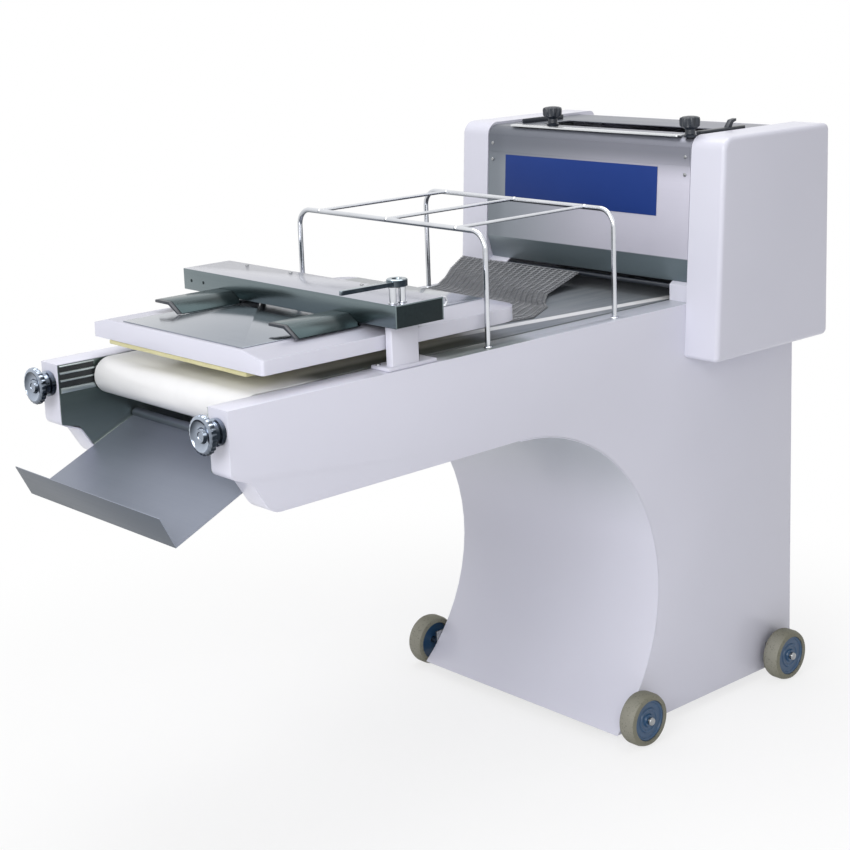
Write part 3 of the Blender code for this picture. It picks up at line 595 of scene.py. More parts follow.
# Head top: two black moulded clamp knobs, a bright clamp bar between them and two sliding feed
# guides of black plastic beside the slot. The near guide has a small pull, the far one is a wedge.
def moulded_black(wire):
    grain = wire.noise(wire.object_place(), scale=600.0, detail=2.0)
    tone_mix = wire.noise(wire.object_place(), scale=30.0, detail=3.0)
    return {
        "Base Color": wire.tint(tone_mix, (0.010, 0.014, 0.022), (0.024, 0.030, 0.042)),
        "Roughness": grain * 0.15 + 0.24,
        "Normal": wire.bump(grain, 0.00005, 0.5),
    }


black_plastic = finish("moulded_black_plastic", moulded_black)


def turned(profile, centre, axis, steps, flutes=0, depth=0.0):
    """Turns (distance along the axis, radius, flute share) rows about an axis line through centre."""
    place = {
        "x": lambda along, a, b: (centre[0] + along, centre[1] + a, centre[2] + b),
        "z": lambda along, a, b: (centre[0] + a, centre[1] + b, centre[2] + along),
    }[axis]
    rings = []
    for row in profile:
        share = row[2] if len(row) > 2 else 0.0
        ring = []
        for i in range(steps):
            angle = 2 * math.pi * i / steps
            bite = share * depth * (0.5 + 0.5 * math.cos(flutes * angle))
            reach = max(0.00005, row[1] - bite)
            ring.append(place(row[0], reach * math.cos(angle), reach * math.sin(angle)))
        rings.append(ring)
    return from_points(*skinned(rings, True, True))


for side in ("near", "far"):
    low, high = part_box(f"clamp_knob_{side}")
    centre = ((low.x + high.x) / 2, (low.y + high.y) / 2, low.z)
    tall = high.z - low.z
    wide = (high.x - low.x) / 2
    profile = [
        (0.0, 0.0115), (0.004, 0.0125), (0.006, 0.0095), (0.014, 0.0090), (0.017, 0.0130),
        (0.019, wide * 0.86, 0.3), (0.021, wide * 0.97, 1.0), (tall - 0.007, wide, 1.0),
        (tall - 0.003, wide * 0.94, 0.8), (tall - 0.001, wide * 0.70, 0.2), (tall, wide * 0.35),
    ]
    knob = turned(profile, centre, "z", steps=84, flutes=7, depth=0.0042)
    made_piece(f"clamp_knob_{side}_grip", f"clamp_{side}", black_plastic, knob,
               [f"clamp_knob_{side}"])

top_z = cover_high.z
near_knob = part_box("clamp_knob_near")
BAR_FAR_Y = 0.206
BAR_T = 0.003
BAR_GAP = 0.0002
bar_x = near_knob[0].x + 0.008
bar_y = near_knob[1].y + 0.002
bar_outline = filleted([
    (bar_x, bar_y), (bar_x + 0.020, bar_y), (bar_x + 0.024, BAR_FAR_Y), (bar_x + 0.006, BAR_FAR_Y)],
    [0.003] * 4, 3)
bar = softened(prism(bar_outline, top_z + BAR_GAP, top_z + BAR_GAP + BAR_T, "z"), THIN_EDGE)
made_piece("head_clamp_bar", "machine_frame", bright_sheet, bar)

low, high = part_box("feed_guide_near")
mid_y = (low.y + high.y) / 2
guide = softened(prism(filleted(
    [(low.x, low.y), (high.x, low.y), (high.x, high.y), (low.x, high.y)], [0.004] * 4, 4),
    low.z, high.z - 0.002, "z"), 0.0012)
made_piece("feed_guide_near_bar", "feed_guide_near", black_plastic, guide,
           ["feed_guide_near"])
pull = [(high.x - 0.052, 0.0), (high.x - 0.040, 0.014), (high.x - 0.026, 0.016), (high.x - 0.026, 0.011),
        (high.x - 0.034, 0.009), (high.x - 0.040, 0.0)]
pull = [(x, high.z - 0.003 + z) for x, z in pull]
pull = softened(prism(pull, mid_y - 0.005, mid_y + 0.005, "y"), 0.001)
made_piece("feed_guide_near_pull", "feed_guide_near", black_plastic, pull)
low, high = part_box("feed_guide_far")
wedge = softened(prism([
    (low.x, (low.y + high.y) / 2 - 0.002), (high.x, low.y), (high.x, high.y),
    (low.x, (low.y + high.y) / 2 + 0.003)], low.z, high.z - 0.001, "z"), 0.0012)
made_piece("feed_guide_far_wedge", "feed_guide_far", black_plastic, wedge,
           ["feed_guide_far"])


# Sheeting rollers: two pairs of hard-chromed steel rollers behind the covers, in cast bearing
# plates. The pairs turn against each other and press the dough flat.
def chrome_painted_reflection(wire):
    """Chrome with a painted reflection: brighter where it faces up and forward and darker where it faces the
    floor.
    """
    smear = wire.noise(wire.object_place(), scale=22.0, detail=3.0)
    painted_reflection_share = wire.turned_to((-0.42, -0.50, 0.76)).clipped(-0.55, 1.05)
    return {
        "Base Color": wire.tint(painted_reflection_share + (smear - 0.5) * 0.35, (0.075, 0.090, 0.110), (0.78, 0.80, 0.84)),
        "Metallic": 1.0,
        "Roughness": smear * 0.08 + 0.07,
    }


def cast_grey(wire):
    sand = wire.noise(wire.object_place(), scale=240.0, detail=4.0)
    return {
        "Base Color": wire.tint(sand, (0.16, 0.17, 0.18), (0.25, 0.26, 0.27)),
        "Metallic": 0.35,
        "Roughness": sand * 0.2 + 0.42,
        "Normal": wire.bump(sand, 0.0003, 0.6),
    }


def dark_chrome_painted_reflection(wire, pale):
    """Chrome of small turned parts, with the dark of the machine below and beside it painted in as a
    reflection.
    """
    smear = wire.noise(wire.object_place(), scale=60.0, detail=3.0)
    painted_reflection_share = wire.turned_to((-0.38, 0.50, 0.78)).clipped(-0.45, 0.95)
    return {
        "Base Color": wire.tint(painted_reflection_share + (smear - 0.5) * 0.30, (0.022, 0.030, 0.040), pale),
        "Metallic": 1.0,
        "Roughness": smear * 0.08 + 0.10,
    }


chrome = finish("polished_chrome", chrome_painted_reflection)
wheel_chrome = finish("handwheel_chrome", lambda w: dark_chrome_painted_reflection(w, (0.46, 0.52, 0.62)))
lever_chrome = finish("lever_chrome", lambda w: dark_chrome_painted_reflection(w, (0.36, 0.42, 0.46)))
casting = finish("sand_cast_grey", cast_grey)
for node in ("feed_roller_front", "feed_roller_rear", "sheeting_roller_front", "sheeting_roller_rear"):
    eased(node, chrome, edge=0.0010)
for side in ("near", "far"):
    dress(f"bearing_plate_{side}", casting)


# Conveyor: a white coated fabric belt round two steel rollers, over a stainless slider bed.
# The coating is smooth and a little glossy at a low angle; the weave shows faintly through it.
RUN_SLOPE = 0.1235
RUN_Y = -0.1407
RUN_HALF = (0.009, 0.014)


def coated_belt(wire):
    place = wire.object_place()
    x, y = [wire.part_of_place(word) for word in ("X", "Y")]
    weave = [wire.sum("SINE", part * 2400.0, 0.0) for part in (x, y)]
    flour = wire.noise(place, scale=24.0, detail=4.0)
    streaks = wire.noise(wire.stretched((6.0, 60.0, 60.0)), 1.0, 4.0)
    clean = wire.tint(flour, (0.715, 0.715, 0.730), (0.790, 0.790, 0.800))
    # Painted shade turns the belt grey beside the mat; a narrow run beside it is left unshaded as a painted
    # highlight.
    off_line = wire.sum("ABSOLUTE", y + x * RUN_SLOPE - RUN_Y, 0.0)
    unshaded_run = 1.0 - off_line.clipped(*RUN_HALF)
    painted_shade_share = x.clipped(-0.16, -0.02) * (1.0 - unshaded_run) * (streaks * 0.3 + 0.72)
    # Painted shadow: the belt's edges are darkened under the board's sides.
    edge = wire.sum("ABSOLUTE", y, 0.0).clipped(0.150, 0.178) * x.clipped(-0.46, -0.40)
    edge = edge * (1.0 - x.clipped(-0.08, 0.0))
    tone_mix = wire.tint(painted_shade_share, clean, (0.105, 0.125, 0.145))
    return {
        "Base Color": wire.tint(edge * 0.9, tone_mix, (0.050, 0.062, 0.055)),
        "Roughness": flour * 0.14 + 0.30,
        "Coat Weight": 0.35,
        "Coat Roughness": 0.10,
        "Normal": wire.bump(weave[0] * weave[1], 0.00006, 0.5),
    }


belt_coat = finish("white_belt_coating", coated_belt)
eased("conveyor_belt", belt_coat, CUT_EDGE)
roller_steel = brushed_finish(
    "ground_roller_steel", (0.46, 0.48, 0.49), (0.58, 0.60, 0.61), (600.0, 4.0, 600.0), 0.26)
for node in ("front_roller", "drive_roller"):
    eased(node, roller_steel)
inner_sheet = brushed_finish(
    "inner_steel_sheet", (0.42, 0.46, 0.46), (0.54, 0.58, 0.58), (3.0, 500.0, 500.0), 0.36)
dress("slider_bed", inner_sheet)


# Arm inside: flat stainless liners behind the belt edges, with a short three-groove slide strip at
# the nose where the take-up blocks run, and a folded belly pan between the two sides.
def joined(meshes):
    bm = bmesh.new()
    for mesh in meshes:
        bm.from_mesh(mesh)
    out = bpy.data.meshes.new("shape")
    bm.to_mesh(out)
    bm.free()
    return out


def liner_steel(wire):
    made = brushed(wire, (0.12, 0.165, 0.155), (0.24, 0.290, 0.275), (3.0, 500.0, 90.0), 0.32)
    # Painted light: the liner is paler towards the bottom.
    lit_low_part = 1.0 - wire.part_of_place("Z").clipped(0.66, 0.75)
    made["Base Color"] = wire.tint(lit_low_part * 0.6, made["Base Color"], (0.34, 0.39, 0.38))
    return made


liner_sheet = finish("arm_liner_sheet", liner_steel)
black_strip = finish("black_slide_strip", lambda w: {
    "Base Color": w.tint(w.noise(w.object_place(), 90.0), (0.006, 0.008, 0.009), (0.020, 0.024, 0.026)),
    "Roughness": 0.45,
})
lip_sheet = brushed_finish(
    "slide_lip_sheet", (0.42, 0.48, 0.48), (0.56, 0.62, 0.62), (3.0, 500.0, 500.0), 0.30)
SLIDE_X = (0.0012, 0.0665)
SLIDE_Z = (0.7485, 0.7950)
LIPS_Z = ((0.7925, 0.7950), (0.7800, 0.7845), (0.7675, 0.7715), (0.7485, 0.7580))
BACKING_T = 0.0010
LIP_T = 0.0031
for side, sign in (("near", -1.0), ("far", 1.0)):
    dress(f"arm_liner_{side}", liner_sheet)
    low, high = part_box(f"arm_liner_{side}")
    wall_y = min(abs(low.y), abs(high.y)) - 0.0002
    run = (low.x + SLIDE_X[0], low.x + SLIDE_X[1])
    backing = [(sign * wall_y, z) for z in SLIDE_Z]
    backing += [(sign * (wall_y - BACKING_T), z) for z in reversed(SLIDE_Z)]
    made_piece(f"nose_slide_{side}_backing", "machine_frame", black_strip,
               prism(backing, *run, "x"))
    lips = []
    lip_y = wall_y - BACKING_T - 0.0001
    for lip_low, lip_high in LIPS_Z:
        out = [(sign * lip_y, lip_low), (sign * lip_y, lip_high),
               (sign * (lip_y - LIP_T), lip_high - 0.0006), (sign * (lip_y - LIP_T), lip_low + 0.0006)]
        lips.append(softened(prism(out, *run, "x"), THIN_EDGE))
    made_piece(f"nose_slide_{side}_lips", "machine_frame", lip_sheet, joined(lips))
dress("belly_pan", powder)
for side in ("near", "far"):
    eased(f"takeup_block_{side}", casting)


# Tension knobs: turned and chromed handwheels on the ends of the belt tension screws, with a
# dished face, a centre boss and a fluted rim on a narrow neck.
NECK_R = 0.0212
WAIST_R = 0.0178
for side in ("near", "far"):
    low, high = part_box(f"tension_knob_{side}")
    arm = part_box("arm_liner_near")[0].x - 0.001
    centre = (arm, (low.y + high.y) / 2, (low.z + high.z) / 2)
    rim = (high.z - low.z) / 2
    face = low.x - arm
    profile = [
        (high.x - arm, 0.0046), (-0.0004, 0.0050), (-0.0004, 0.0205), (-0.0015, NECK_R),
        (-0.0080, NECK_R), (-0.0095, WAIST_R), (face + 0.0170, WAIST_R), (face + 0.0140, 0.0200),
        (face + 0.0125, rim - 0.0040, 0.3), (face + 0.0105, rim - 0.0008, 1.0),
        (face + 0.0050, rim, 1.0), (face + 0.0022, rim - 0.0014, 0.6),
        (face + 0.0006, rim - 0.0052), (face + 0.0004, rim - 0.0066), (face + 0.0030, rim - 0.0095),
        (face + 0.0048, 0.0150), (face + 0.0046, 0.0125), (face + 0.0020, 0.0112), (face, 0.0098),
        (face + 0.0002, 0.0060), (face + 0.0012, 0.0050), (face + 0.0012, 0.0001),
    ]
    knob = turned(profile, centre, "x", steps=144, flutes=24, depth=0.0014)
    made_piece(f"tension_knob_{side}_wheel", f"tension_{side}", wheel_chrome, knob,
               [f"tension_knob_{side}"])


# Catch tray: one sheet of satin stainless, folded up into a lip and hooked over a cross rod under
# the belt's front roller.
def satin_steel(wire):
    made = brushed(wire, (0.225, 0.250, 0.310), (0.315, 0.340, 0.405), (300.0, 2.0, 300.0), 0.36)
    # Painted shade on faces turned outwards and down, such as the outer face of the lip.
    shaded_outside = wire.turned_to((-0.80, 0.0, -0.60)).clipped(0.10, 0.70)
    made["Base Color"] = wire.tint(shaded_outside * 0.75, made["Base Color"], (0.070, 0.085, 0.100))
    made["Metallic"] = 0.75
    return made


eased("catch_tray", finish("satin_tray_sheet", satin_steel), THIN_EDGE)
eased("tray_rod", chrome, CUT_EDGE)


# Wire guard: two bent hoops of chromed rod, dropped into holes in the arm, joined along the top by
# three thinner rods with small welds.
def bent_wire(path, radius, steps=16):
    """A round wire along a path, closed at both ends."""
    points = [Vector(p) for p in path]
    side = (points[1] - points[0]).orthogonal().normalized()
    rings = []
    for i, point in enumerate(points):
        ahead = points[min(i + 1, len(points) - 1)]
        tangent = (ahead - points[max(i - 1, 0)]).normalized()
        side = (side - tangent * side.dot(tangent)).normalized()
        up = tangent.cross(side)
        turns = [2 * math.pi * k / steps for k in range(steps)]
        rings.append([point + (side * math.cos(t) + up * math.sin(t)) * radius for t in turns])
    return from_points(*skinned(rings, True, True))


low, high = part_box("wire_guard")
HOOP_R = 0.0045
HOOP_BEND = 0.030
BAR_R = 0.0030
BAR_Y = (-0.176, 0.0, 0.184)
hoop_top = high.z - HOOP_R - 0.0004
bar_z = hoop_top + 0.001
hoop_y = high.y - HOOP_R
hoops = []
for x in (low.x + HOOP_R, high.x - HOOP_R):
    path = [(x, -hoop_y, low.z), (x, -hoop_y, low.z + 0.1)]
    for sign, steps in ((-1.0, range(13)), (1.0, range(12, -1, -1))):
        for step in steps:
            angle = math.radians(7.5 * step)
            path.append((x, sign * (hoop_y - HOOP_BEND * (1 - math.cos(angle))),
                         hoop_top - HOOP_BEND * (1 - math.sin(angle))))
    path += [(x, hoop_y, low.z + 0.1), (x, hoop_y, low.z)]
    hoops.append(bent_wire(path, HOOP_R))
for y in BAR_Y:
    hoops.append(bent_wire([(low.x + HOOP_R, y, bar_z), (high.x - HOOP_R, y, bar_z)], BAR_R, 12))
made_piece("wire_guard_rods", "guard", chrome, joined(hoops), ["wire_guard"])
beads = [(x, y, bar_z) for x in (low.x + HOOP_R, high.x - HOOP_R) for y in BAR_Y]
screws("wire_guard_welds", "guard", beads, (0, 0, 0), 0.0054, 0.0042, chrome)
ARM_TOP_Z = 0.7975
feet = [(x, y, ARM_TOP_Z) for x in (low.x + HOOP_R, high.x - HOOP_R) for y in (-hoop_y, hoop_y)]
screws("wire_guard_collars", "machine_frame", feet, (0, 0, 0), 0.0078, 0.0022, chrome)


# Pressure board: a folded white box with sloping edges over the belt, lined below with thick felt
# and covered on top with a polished stainless plate.
def board_powder_shaded_top(wire):
    """The same coat, with painted shade where the board faces up."""
    made = white_powder(wire)
    up = wire.turned_to((0.0, 0.0, 1.0)).clipped(0.50, 0.92)
    made["Base Color"] = wire.tint(up * 0.90, made["Base Color"], (0.43, 0.432, 0.510))
    return made


eased("pressure_board", finish("board_powder_coat", board_powder_shaded_top), edge=0.0016, steps=3)
eased("lift_bar", casting, edge=0.0010)
mirror_sheet = brushed_finish(
    "polished_cover_sheet", (0.30, 0.33, 0.37), (0.42, 0.45, 0.50), (300.0, 3.0, 300.0), 0.10)
eased("board_top_plate", mirror_sheet, edge=0.0003)


def felt_wool(wire):
    place = wire.object_place()
    fuzz = wire.noise(place, 900.0, 5.0, 0.7)
    stain = wire.noise(place, scale=30.0, detail=3.0)
    return {
        "Base Color": wire.tint(stain, (0.50, 0.47, 0.23), (0.66, 0.62, 0.36)),
        "Roughness": 0.95,
        "Sheen Weight": 0.4,
        "Normal": wire.bump(fuzz, 0.0006, 0.8),
    }


FELT_GAP = 0.0004
FELT_EDGE = 0.0022
FELT_WAVE = 0.0003
low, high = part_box("board_lining")
felt_mesh = bpy.data.meshes.new("board_felt")
bm = bmesh.new()
bmesh.ops.create_cube(bm, size=1.0)
for vertex in bm.verts:
    vertex.co = Vector([
        low[k] + FELT_GAP + (vertex.co[k] + 0.5) * (high[k] - low[k] - 2 * FELT_GAP) for k in range(3)])
bmesh.ops.bevel(bm, geom=bm.edges, offset=FELT_EDGE, segments=3, profile=0.6, affect="EDGES")
bmesh.ops.subdivide_edges(
    bm, edges=[e for e in bm.edges if e.calc_length() > 0.1], cuts=60, use_grid_fill=True)
for vertex in bm.verts:
    wave = math.sin(vertex.co.y * 61.0) * math.sin(vertex.co.x * 47.0 + 1.0)
    vertex.co.z -= FELT_WAVE * wave * (vertex.co.z < (low.z + high.z) / 2)
bm.to_mesh(felt_mesh)
bm.free()
felt = made_piece("board_felt", "pressure_board_group", finish("yellow_wool_felt", felt_wool), felt_mesh,
                  ["board_lining"])


# Cross channel: a folded stainless channel across the arm that carries the pressure board, on two
# white brackets screwed to the top flanges.
def channel_steel_painted_reflection(wire):
    made = brushed(wire, (0.125, 0.160, 0.172), (0.240, 0.290, 0.305), (300.0, 5.0, 300.0), 0.14)
    # Painted reflection: faces turned up are pale, the rest dark.
    top = wire.turned_to((0.0, 0.0, 1.0)).clipped(0.55, 0.95)
    made["Base Color"] = wire.tint(top, made["Base Color"], (0.48, 0.49, 0.56))
    return made


channel_sheet = finish("polished_channel_sheet", channel_steel_painted_reflection)
dark_fill_look = finish("dark_fill", lambda w: {
    "Base Color": w.tint(w.noise(w.object_place(), 200.0), (0.008, 0.014, 0.016), (0.020, 0.030, 0.033)),
    "Roughness": 0.6,
    "Specular IOR Level": 0.15,
})
eased("cross_channel", channel_sheet, edge=0.0009, steps=3)
BRACKET_SCREW_Y = 0.2235
BRACKET_FOOT_T = 0.0062
places = []
for side, sign in (("near", -1.0), ("far", 1.0)):
    eased(f"channel_bracket_{side}", powder, edge=0.0012)
    low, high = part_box(f"channel_bracket_{side}")
    places += [(x, sign * BRACKET_SCREW_Y, low.z + BRACKET_FOOT_T) for x in (low.x + 0.008, high.x - 0.012)]
screws("bracket_screws", "machine_frame", places, (0, 0, 0), 0.0042, 0.0026)
low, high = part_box("cross_channel")
CHANNEL_WALL = 0.0026
END_SHADE_T = 0.0024
# Dark sheets inside the open ends of the channel: painted shade where the inside of the channel lies in
# shadow.
for side, y in (("near", low.y + 0.0016), ("far", high.y - 0.0016)):
    left, right, top = low.x + CHANNEL_WALL, high.x - CHANNEL_WALL, high.z - CHANNEL_WALL
    end_shade = [(left, low.z + 0.0004), (right, low.z + 0.0004), (right, top), (left, top)]
    end_shade = softened(prism(end_shade, y - END_SHADE_T / 2, y + END_SHADE_T / 2, "y"), THIN_EDGE)
    made_piece(f"channel_end_shade_{side}", "machine_frame", dark_fill_look, end_shade)
screws("channel_screws", "machine_frame", [(high.x - 0.012, y, high.z) for y in (-0.10, 0.09, 0.215)],
       (0, 0, 0), 0.0036, 0.0018)
screws("channel_face_dots", "machine_frame", [(low.x, y, low.z + 0.017) for y in (0.226, 0.262)],
       (0, -math.pi / 2, 0), 0.0030, 0.0006, dark_fill_look)
hook = [(high.x - 0.0022 + along, low.y + 0.014, high.z + rise) for along, rise in (
    (0.0, -0.010), (0.010, -0.004), (0.018, -0.005), (0.022, -0.012), (0.017, -0.019), (0.009, -0.018))]
made_piece("channel_hook", "machine_frame", chrome, bent_wire(hook, 0.0019, 10))


# Height lever: a flat chromed bar with an eye round its pin, on two short chromed columns that
# stand on the channel.
low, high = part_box("lever_post")
post_x = (low.x + high.x) / 2
post_y = (low.y + high.y) / 2
tall = high.z - low.z
column = [(0.0, 0.0075), (0.0016, 0.0075), (0.0018, 0.0056), (tall - 0.0018, 0.0056),
          (tall - 0.0016, 0.0070), (tall, 0.0070)]
columns = [turned(column, (post_x + shift, post_y, low.z), "z", 24) for shift in (-0.0095, 0.0095)]
made_piece("lever_columns", "machine_frame", chrome, joined(columns), ["lever_post"])
low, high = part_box("height_lever")
tall = high.z - low.z
eye = [(0.0, 0.0150), (0.0012, 0.0166), (tall - 0.0012, 0.0166), (tall, 0.0150), (tall, 0.0082),
       (tall - 0.0030, 0.0072), (tall - 0.0030, 0.0)]
eye = turned(eye, (post_x, post_y, low.z), "z", 40)
blade = filleted([(post_x, post_y - 0.0095), (post_x, post_y + 0.0095), (low.x, post_y + 0.0040),
                  (low.x, post_y - 0.0040)], [0.0005, 0.0005, 0.0038, 0.0038], 5)
blade = softened(prism(blade, low.z + 0.002, low.z + 0.009, "z"), 0.0014)
made_piece("height_lever_bar", "height_lever", lever_chrome, joined([blade, eye]),
           ["height_lever"])


# Guide plates: two bent stainless strips on the board that set the width of the dough, each with a
# black plastic end.
def guide_steel_painted_shade(wire):
    """Polished strip painted dark as the channel's shadow, with a painted highlight on its top flange."""
    made = brushed(wire, (0.018, 0.028, 0.030), (0.050, 0.068, 0.072), (3.0, 300.0, 300.0), 0.20)
    top = wire.turned_to((0.0, 0.0, 1.0)).clipped(0.90, 0.99)
    made["Base Color"] = wire.tint(top, made["Base Color"], (0.15, 0.19, 0.20))
    return made


shaded_guide_sheet = finish("guide_sheet_painted_shade", guide_steel_painted_shade)
for side in ("near", "far"):
    eased(f"guide_plate_{side}", shaded_guide_sheet, THIN_EDGE)
    low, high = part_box(f"guide_plate_{side}")
    outline = [(low.y, low.z + 0.0006), (low.y + 0.0280, high.z), (high.y, high.z),
               (high.y, high.z - 0.0050), (low.y + 0.0300, high.z - 0.0050), (low.y + 0.0040, low.z)]
    end = softened(prism(outline, low.x - 0.0075, low.x + 0.0002, "x"), 0.0012)
    made_piece(f"guide_plate_{side}_end", f"guide_{side}", black_plastic, end)


# Curling mat: a limp mat of woven stainless wire that lies on the moving belt and rolls the dough
# up. It hangs from a rod under the head's flap and slopes down on to the belt.
low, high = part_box("curling_mat")
MAT_RISE = ((-0.060, 0.0), (0.213, 0.0), (0.235, 0.001), (0.285, 0.005), (0.340, 0.014), (0.3935, 0.028))
MAT_NEAR = ((-0.060, -0.125), (0.056, -0.125), (0.126, -0.138), (0.213, -0.088), (0.235, -0.060),
            (0.285, -0.018), (0.340, -0.004), (0.3935, 0.002))
MAT_FAR = ((-0.060, 0.238), (0.235, 0.238), (0.285, 0.270), (0.340, 0.310), (0.3935, 0.332))


def along(table, x):
    """The value at x of a line through (x, value) rows."""
    for (x0, v0), (x1, v1) in zip(table, table[1:]):
        if x <= x1:
            share = max(0.0, (x - x0) / (x1 - x0))
            return v0 + (v1 - v0) * share
    return table[-1][1]


def mat_point(u, v, up):
    """A point of the mat from its front edge to its rear (u) and near edge to far (v)."""
    x = low.x + 0.001 + (high.x - low.x - 0.002) * u
    near, far = along(MAT_NEAR, x) + 0.001, along(MAT_FAR, x) - 0.001
    y = near + (far - near) * v
    ripple = 0.0005 * math.sin(x * 70.0 + y * 9.0) * math.sin(y * 31.0)
    return Vector((x, y, low.z + along(MAT_RISE, x) + 0.0019 + ripple + up))


def wire_net_tree():
    """Geometry Nodes: a round wire along every line it is given."""
    wire, given = started_tree("woven_wires", [
        ("Lines", "Geometry"), ("Wire Radius", "Float"), ("Wire Sides", "Int"), ("Finish", "Material")])
    lines = wire.node("GeometryNodeMeshToCurve", {}, {"Mesh": given["Lines"]})
    circle = wire.node("GeometryNodeCurvePrimitiveCircle", {}, {
        "Radius": given["Wire Radius"], "Resolution": given["Wire Sides"]})
    drawn = wire.node("GeometryNodeCurveToMesh", {}, {
        "Curve": lines, "Profile Curve": circle, "Fill Caps": True})
    return ended_tree(drawn, given["Finish"])


def woven_wire(wire):
    grime = wire.noise(wire.object_place(), scale=60.0, detail=4.0)
    return {
        "Base Color": wire.tint(grime, (0.13, 0.135, 0.145), (0.36, 0.37, 0.39)),
        "Metallic": 0.8,
        "Roughness": grime * 0.2 + 0.42,
    }


WEB_ROW = 0.0080
WEB_KNOT = 0.0050


def mat_web(wire):
    x, y = [wire.part_of_place(word) for word in ("X", "Y")]
    rows = wire.sum("SINE", x * (2 * math.pi / WEB_ROW), 0.0) * 0.5 + 0.5
    knots = wire.sum("SINE", y * (2 * math.pi / WEB_KNOT), 0.0) * 0.5 + 0.5
    cloud = wire.noise(wire.object_place(), scale=16.0, detail=3.0)
    mix = rows * 0.45 + knots * 0.25 + cloud * 0.45
    return {
        "Base Color": wire.tint(mix, (0.060, 0.062, 0.068), (0.22, 0.225, 0.24)),
        "Metallic": 0.4,
        "Roughness": 0.5,
        "Normal": wire.bump(rows * 0.6 + knots * 0.4, 0.0010, 0.8),
    }


ROWS = 58
COLUMNS = 30
ZIG = 42
web_points = [
    mat_point(i / ROWS, j / COLUMNS, -0.0012) for i in range(ROWS + 1) for j in range(COLUMNS + 1)]
web_faces = []
for i in range(ROWS):
    for j in range(COLUMNS):
        a = i * (COLUMNS + 1) + j
        web_faces.append((a, a + COLUMNS + 1, a + COLUMNS + 2, a + 1))
web_mesh = from_points(web_points, web_faces, False)
web = made_piece("curling_mat_web", "machine_frame", finish("fine_wire_web", mat_web), web_mesh,
                 ["curling_mat"])
net_points = []
net_edges = []
for i in range(ROWS + 1):
    rod_line = [mat_point(i / ROWS, j / COLUMNS, 0.0) for j in range(COLUMNS + 1)]
    net_edges += [(len(net_points) + k, len(net_points) + k + 1) for k in range(COLUMNS)]
    net_points += rod_line
    if i == ROWS:
        continue
    coil = []
    for k in range(ZIG + 1):
        u = (i + 0.5 + (0.62 if k % 2 else -0.62)) / ROWS
        lift = 0.0008 if k % 2 else -0.0006
        coil.append(mat_point(min(1.0, max(0.0, u)), k / ZIG, lift))
    net_edges += [(len(net_points) + k, len(net_points) + k + 1) for k in range(ZIG)]
    net_points += coil
net_look = finish("woven_steel_wire", woven_wire)
net_mesh = grown(net_points, net_edges, wire_net_tree(),
                 {"Wire Radius": 0.0007, "Wire Sides": 4, "Finish": net_look})
net = made_piece("curling_mat_wires", "machine_frame", net_look, net_mesh)
eased("mat_rod", black_plastic, CUT_EDGE)


# Wheels: beige rubber tyres on blue pressed hubs, each on a steel pin bolted to the side panel.
# The hub has two raised rings and a domed axle end.
def rubber(wire):
    place = wire.object_place()
    specks = wire.noise(place, scale=260.0, detail=3.0)
    grime = wire.noise(place, scale=26.0, detail=4.0)
    base = wire.tint(grime, (0.125, 0.122, 0.090), (0.235, 0.230, 0.175))
    # Painted light: faces turned to the front and up are paler.
    base = wire.tint(wire.turned_to((-0.95, 0.0, 0.30)).clipped(0.40, 1.0) * 0.40, base, (0.36, 0.35, 0.31))
    return {
        "Base Color": wire.tint(specks.clipped(0.58, 0.66) * 0.5, base, (0.070, 0.068, 0.045)),
        "Roughness": grime * 0.2 + 0.55,
        "Normal": wire.bump(specks, 0.0006, 0.7),
    }


def hub_paint(wire):
    tone_mix = wire.noise(wire.object_place(), scale=45.0, detail=4.0)
    return {
        "Base Color": wire.tint(tone_mix, (0.013, 0.052, 0.125), (0.028, 0.090, 0.185)),
        "Roughness": tone_mix * 0.2 + 0.30,
        "Coat Weight": 0.2,
    }


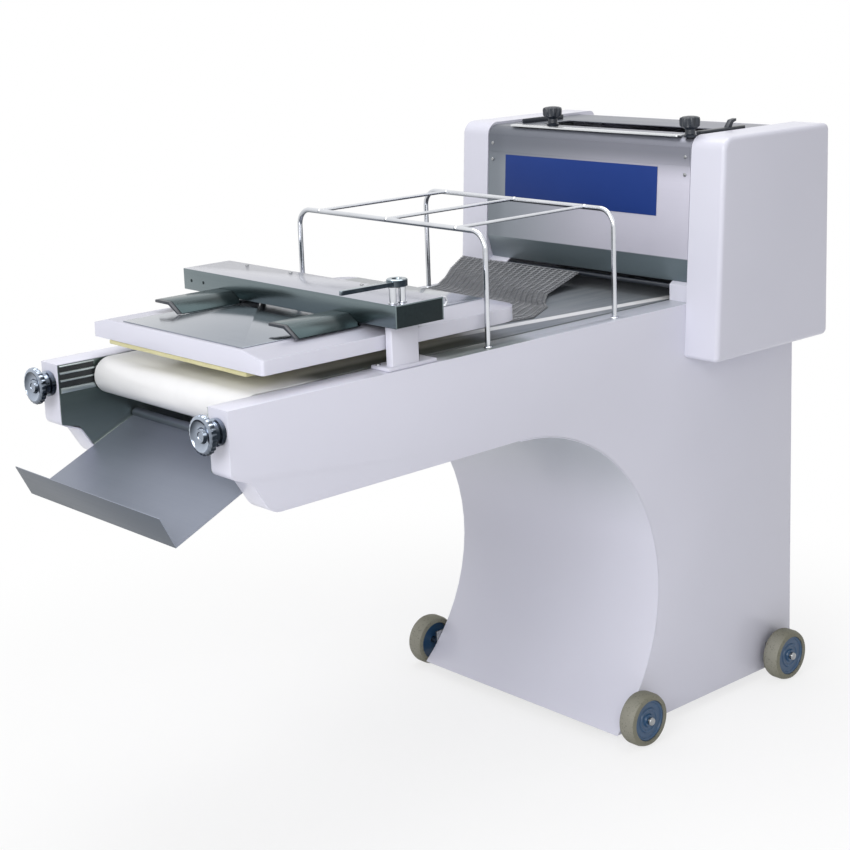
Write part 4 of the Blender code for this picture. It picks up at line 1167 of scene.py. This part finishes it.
def wheel_ring(rows, centre, sign, steps):
    """Turns a closed section of (distance outwards from the wheel's back, radius) rows about the axle."""
    turns = [2 * math.pi * k / steps for k in range(steps)]
    rings = [[(centre[0] + r * math.sin(t), centre[1] + sign * a, centre[2] + r * math.cos(t)) for t in turns]
             for a, r in rows]
    return from_points(*skinned(rings + rings[:1], False))


HUB_R = 0.0385
tyre_look = finish("beige_tyre_rubber", rubber)
hub_look = finish("blue_hub_enamel", hub_paint)
for side, sign in (("near", -1.0), ("far", 1.0)):
    for end in ("front", "rear"):
        word = f"{side}_{end}"
        low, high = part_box(f"wheel_{word}")
        wide = high.y - low.y
        centre = ((low.x + high.x) / 2, low.y if sign > 0 else high.y, (low.z + high.z) / 2)
        tread = (high.z - low.z) / 2
        rows = [(0.0005, HUB_R), (0.0003, 0.0430), (0.0020, 0.0468), (0.0060, tread - 0.0012),
                (0.0095, tread - 0.0001), (wide - 0.0110, tread - 0.0001), (wide - 0.0070, tread - 0.0012),
                (wide - 0.0028, 0.0468), (wide - 0.0010, 0.0430), (wide - 0.0012, HUB_R)]
        made_piece(f"tyre_{word}", f"wheel_{word}", tyre_look, wheel_ring(rows, centre, sign, 64),
                   [f"wheel_{word}"])
        rows = [(0.012, 0.0068), (0.012, 0.0372), (0.013, 0.0386), (wide - 0.0045, 0.0386),
                (wide - 0.0035, 0.0370), (wide - 0.0035, 0.0345), (wide - 0.0060, 0.0325),
                (wide - 0.0060, 0.0240), (wide - 0.0040, 0.0225), (wide - 0.0040, 0.0200),
                (wide - 0.0055, 0.0185), (wide - 0.0055, 0.0130), (wide - 0.0018, 0.0115),
                (wide - 0.0018, 0.0068)]
        made_piece(f"hub_{word}", f"wheel_{word}", hub_look, wheel_ring(rows, centre, sign, 48))
        eased(f"wheel_stub_{word}", screw_steel, CUT_EDGE)
        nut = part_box(f"wheel_stub_{word}")
        nut_y = nut[1].y if sign > 0 else nut[0].y
        screws(f"axle_cap_{word}", "machine_frame", [(centre[0], nut_y - sign * 0.0012, centre[2])],
               (-sign * math.pi / 2, 0, 0), 0.0078, 0.0036)


# Inside the pedestal: a plain steel floor plate with the drive motor on it, and a cable gland in
# the rear panel where the mains lead comes in.
dress("base_plate", casting)
eased("drive_motor", casting, edge=0.0015)
eased("cable_gland", black_plastic, CUT_EDGE)
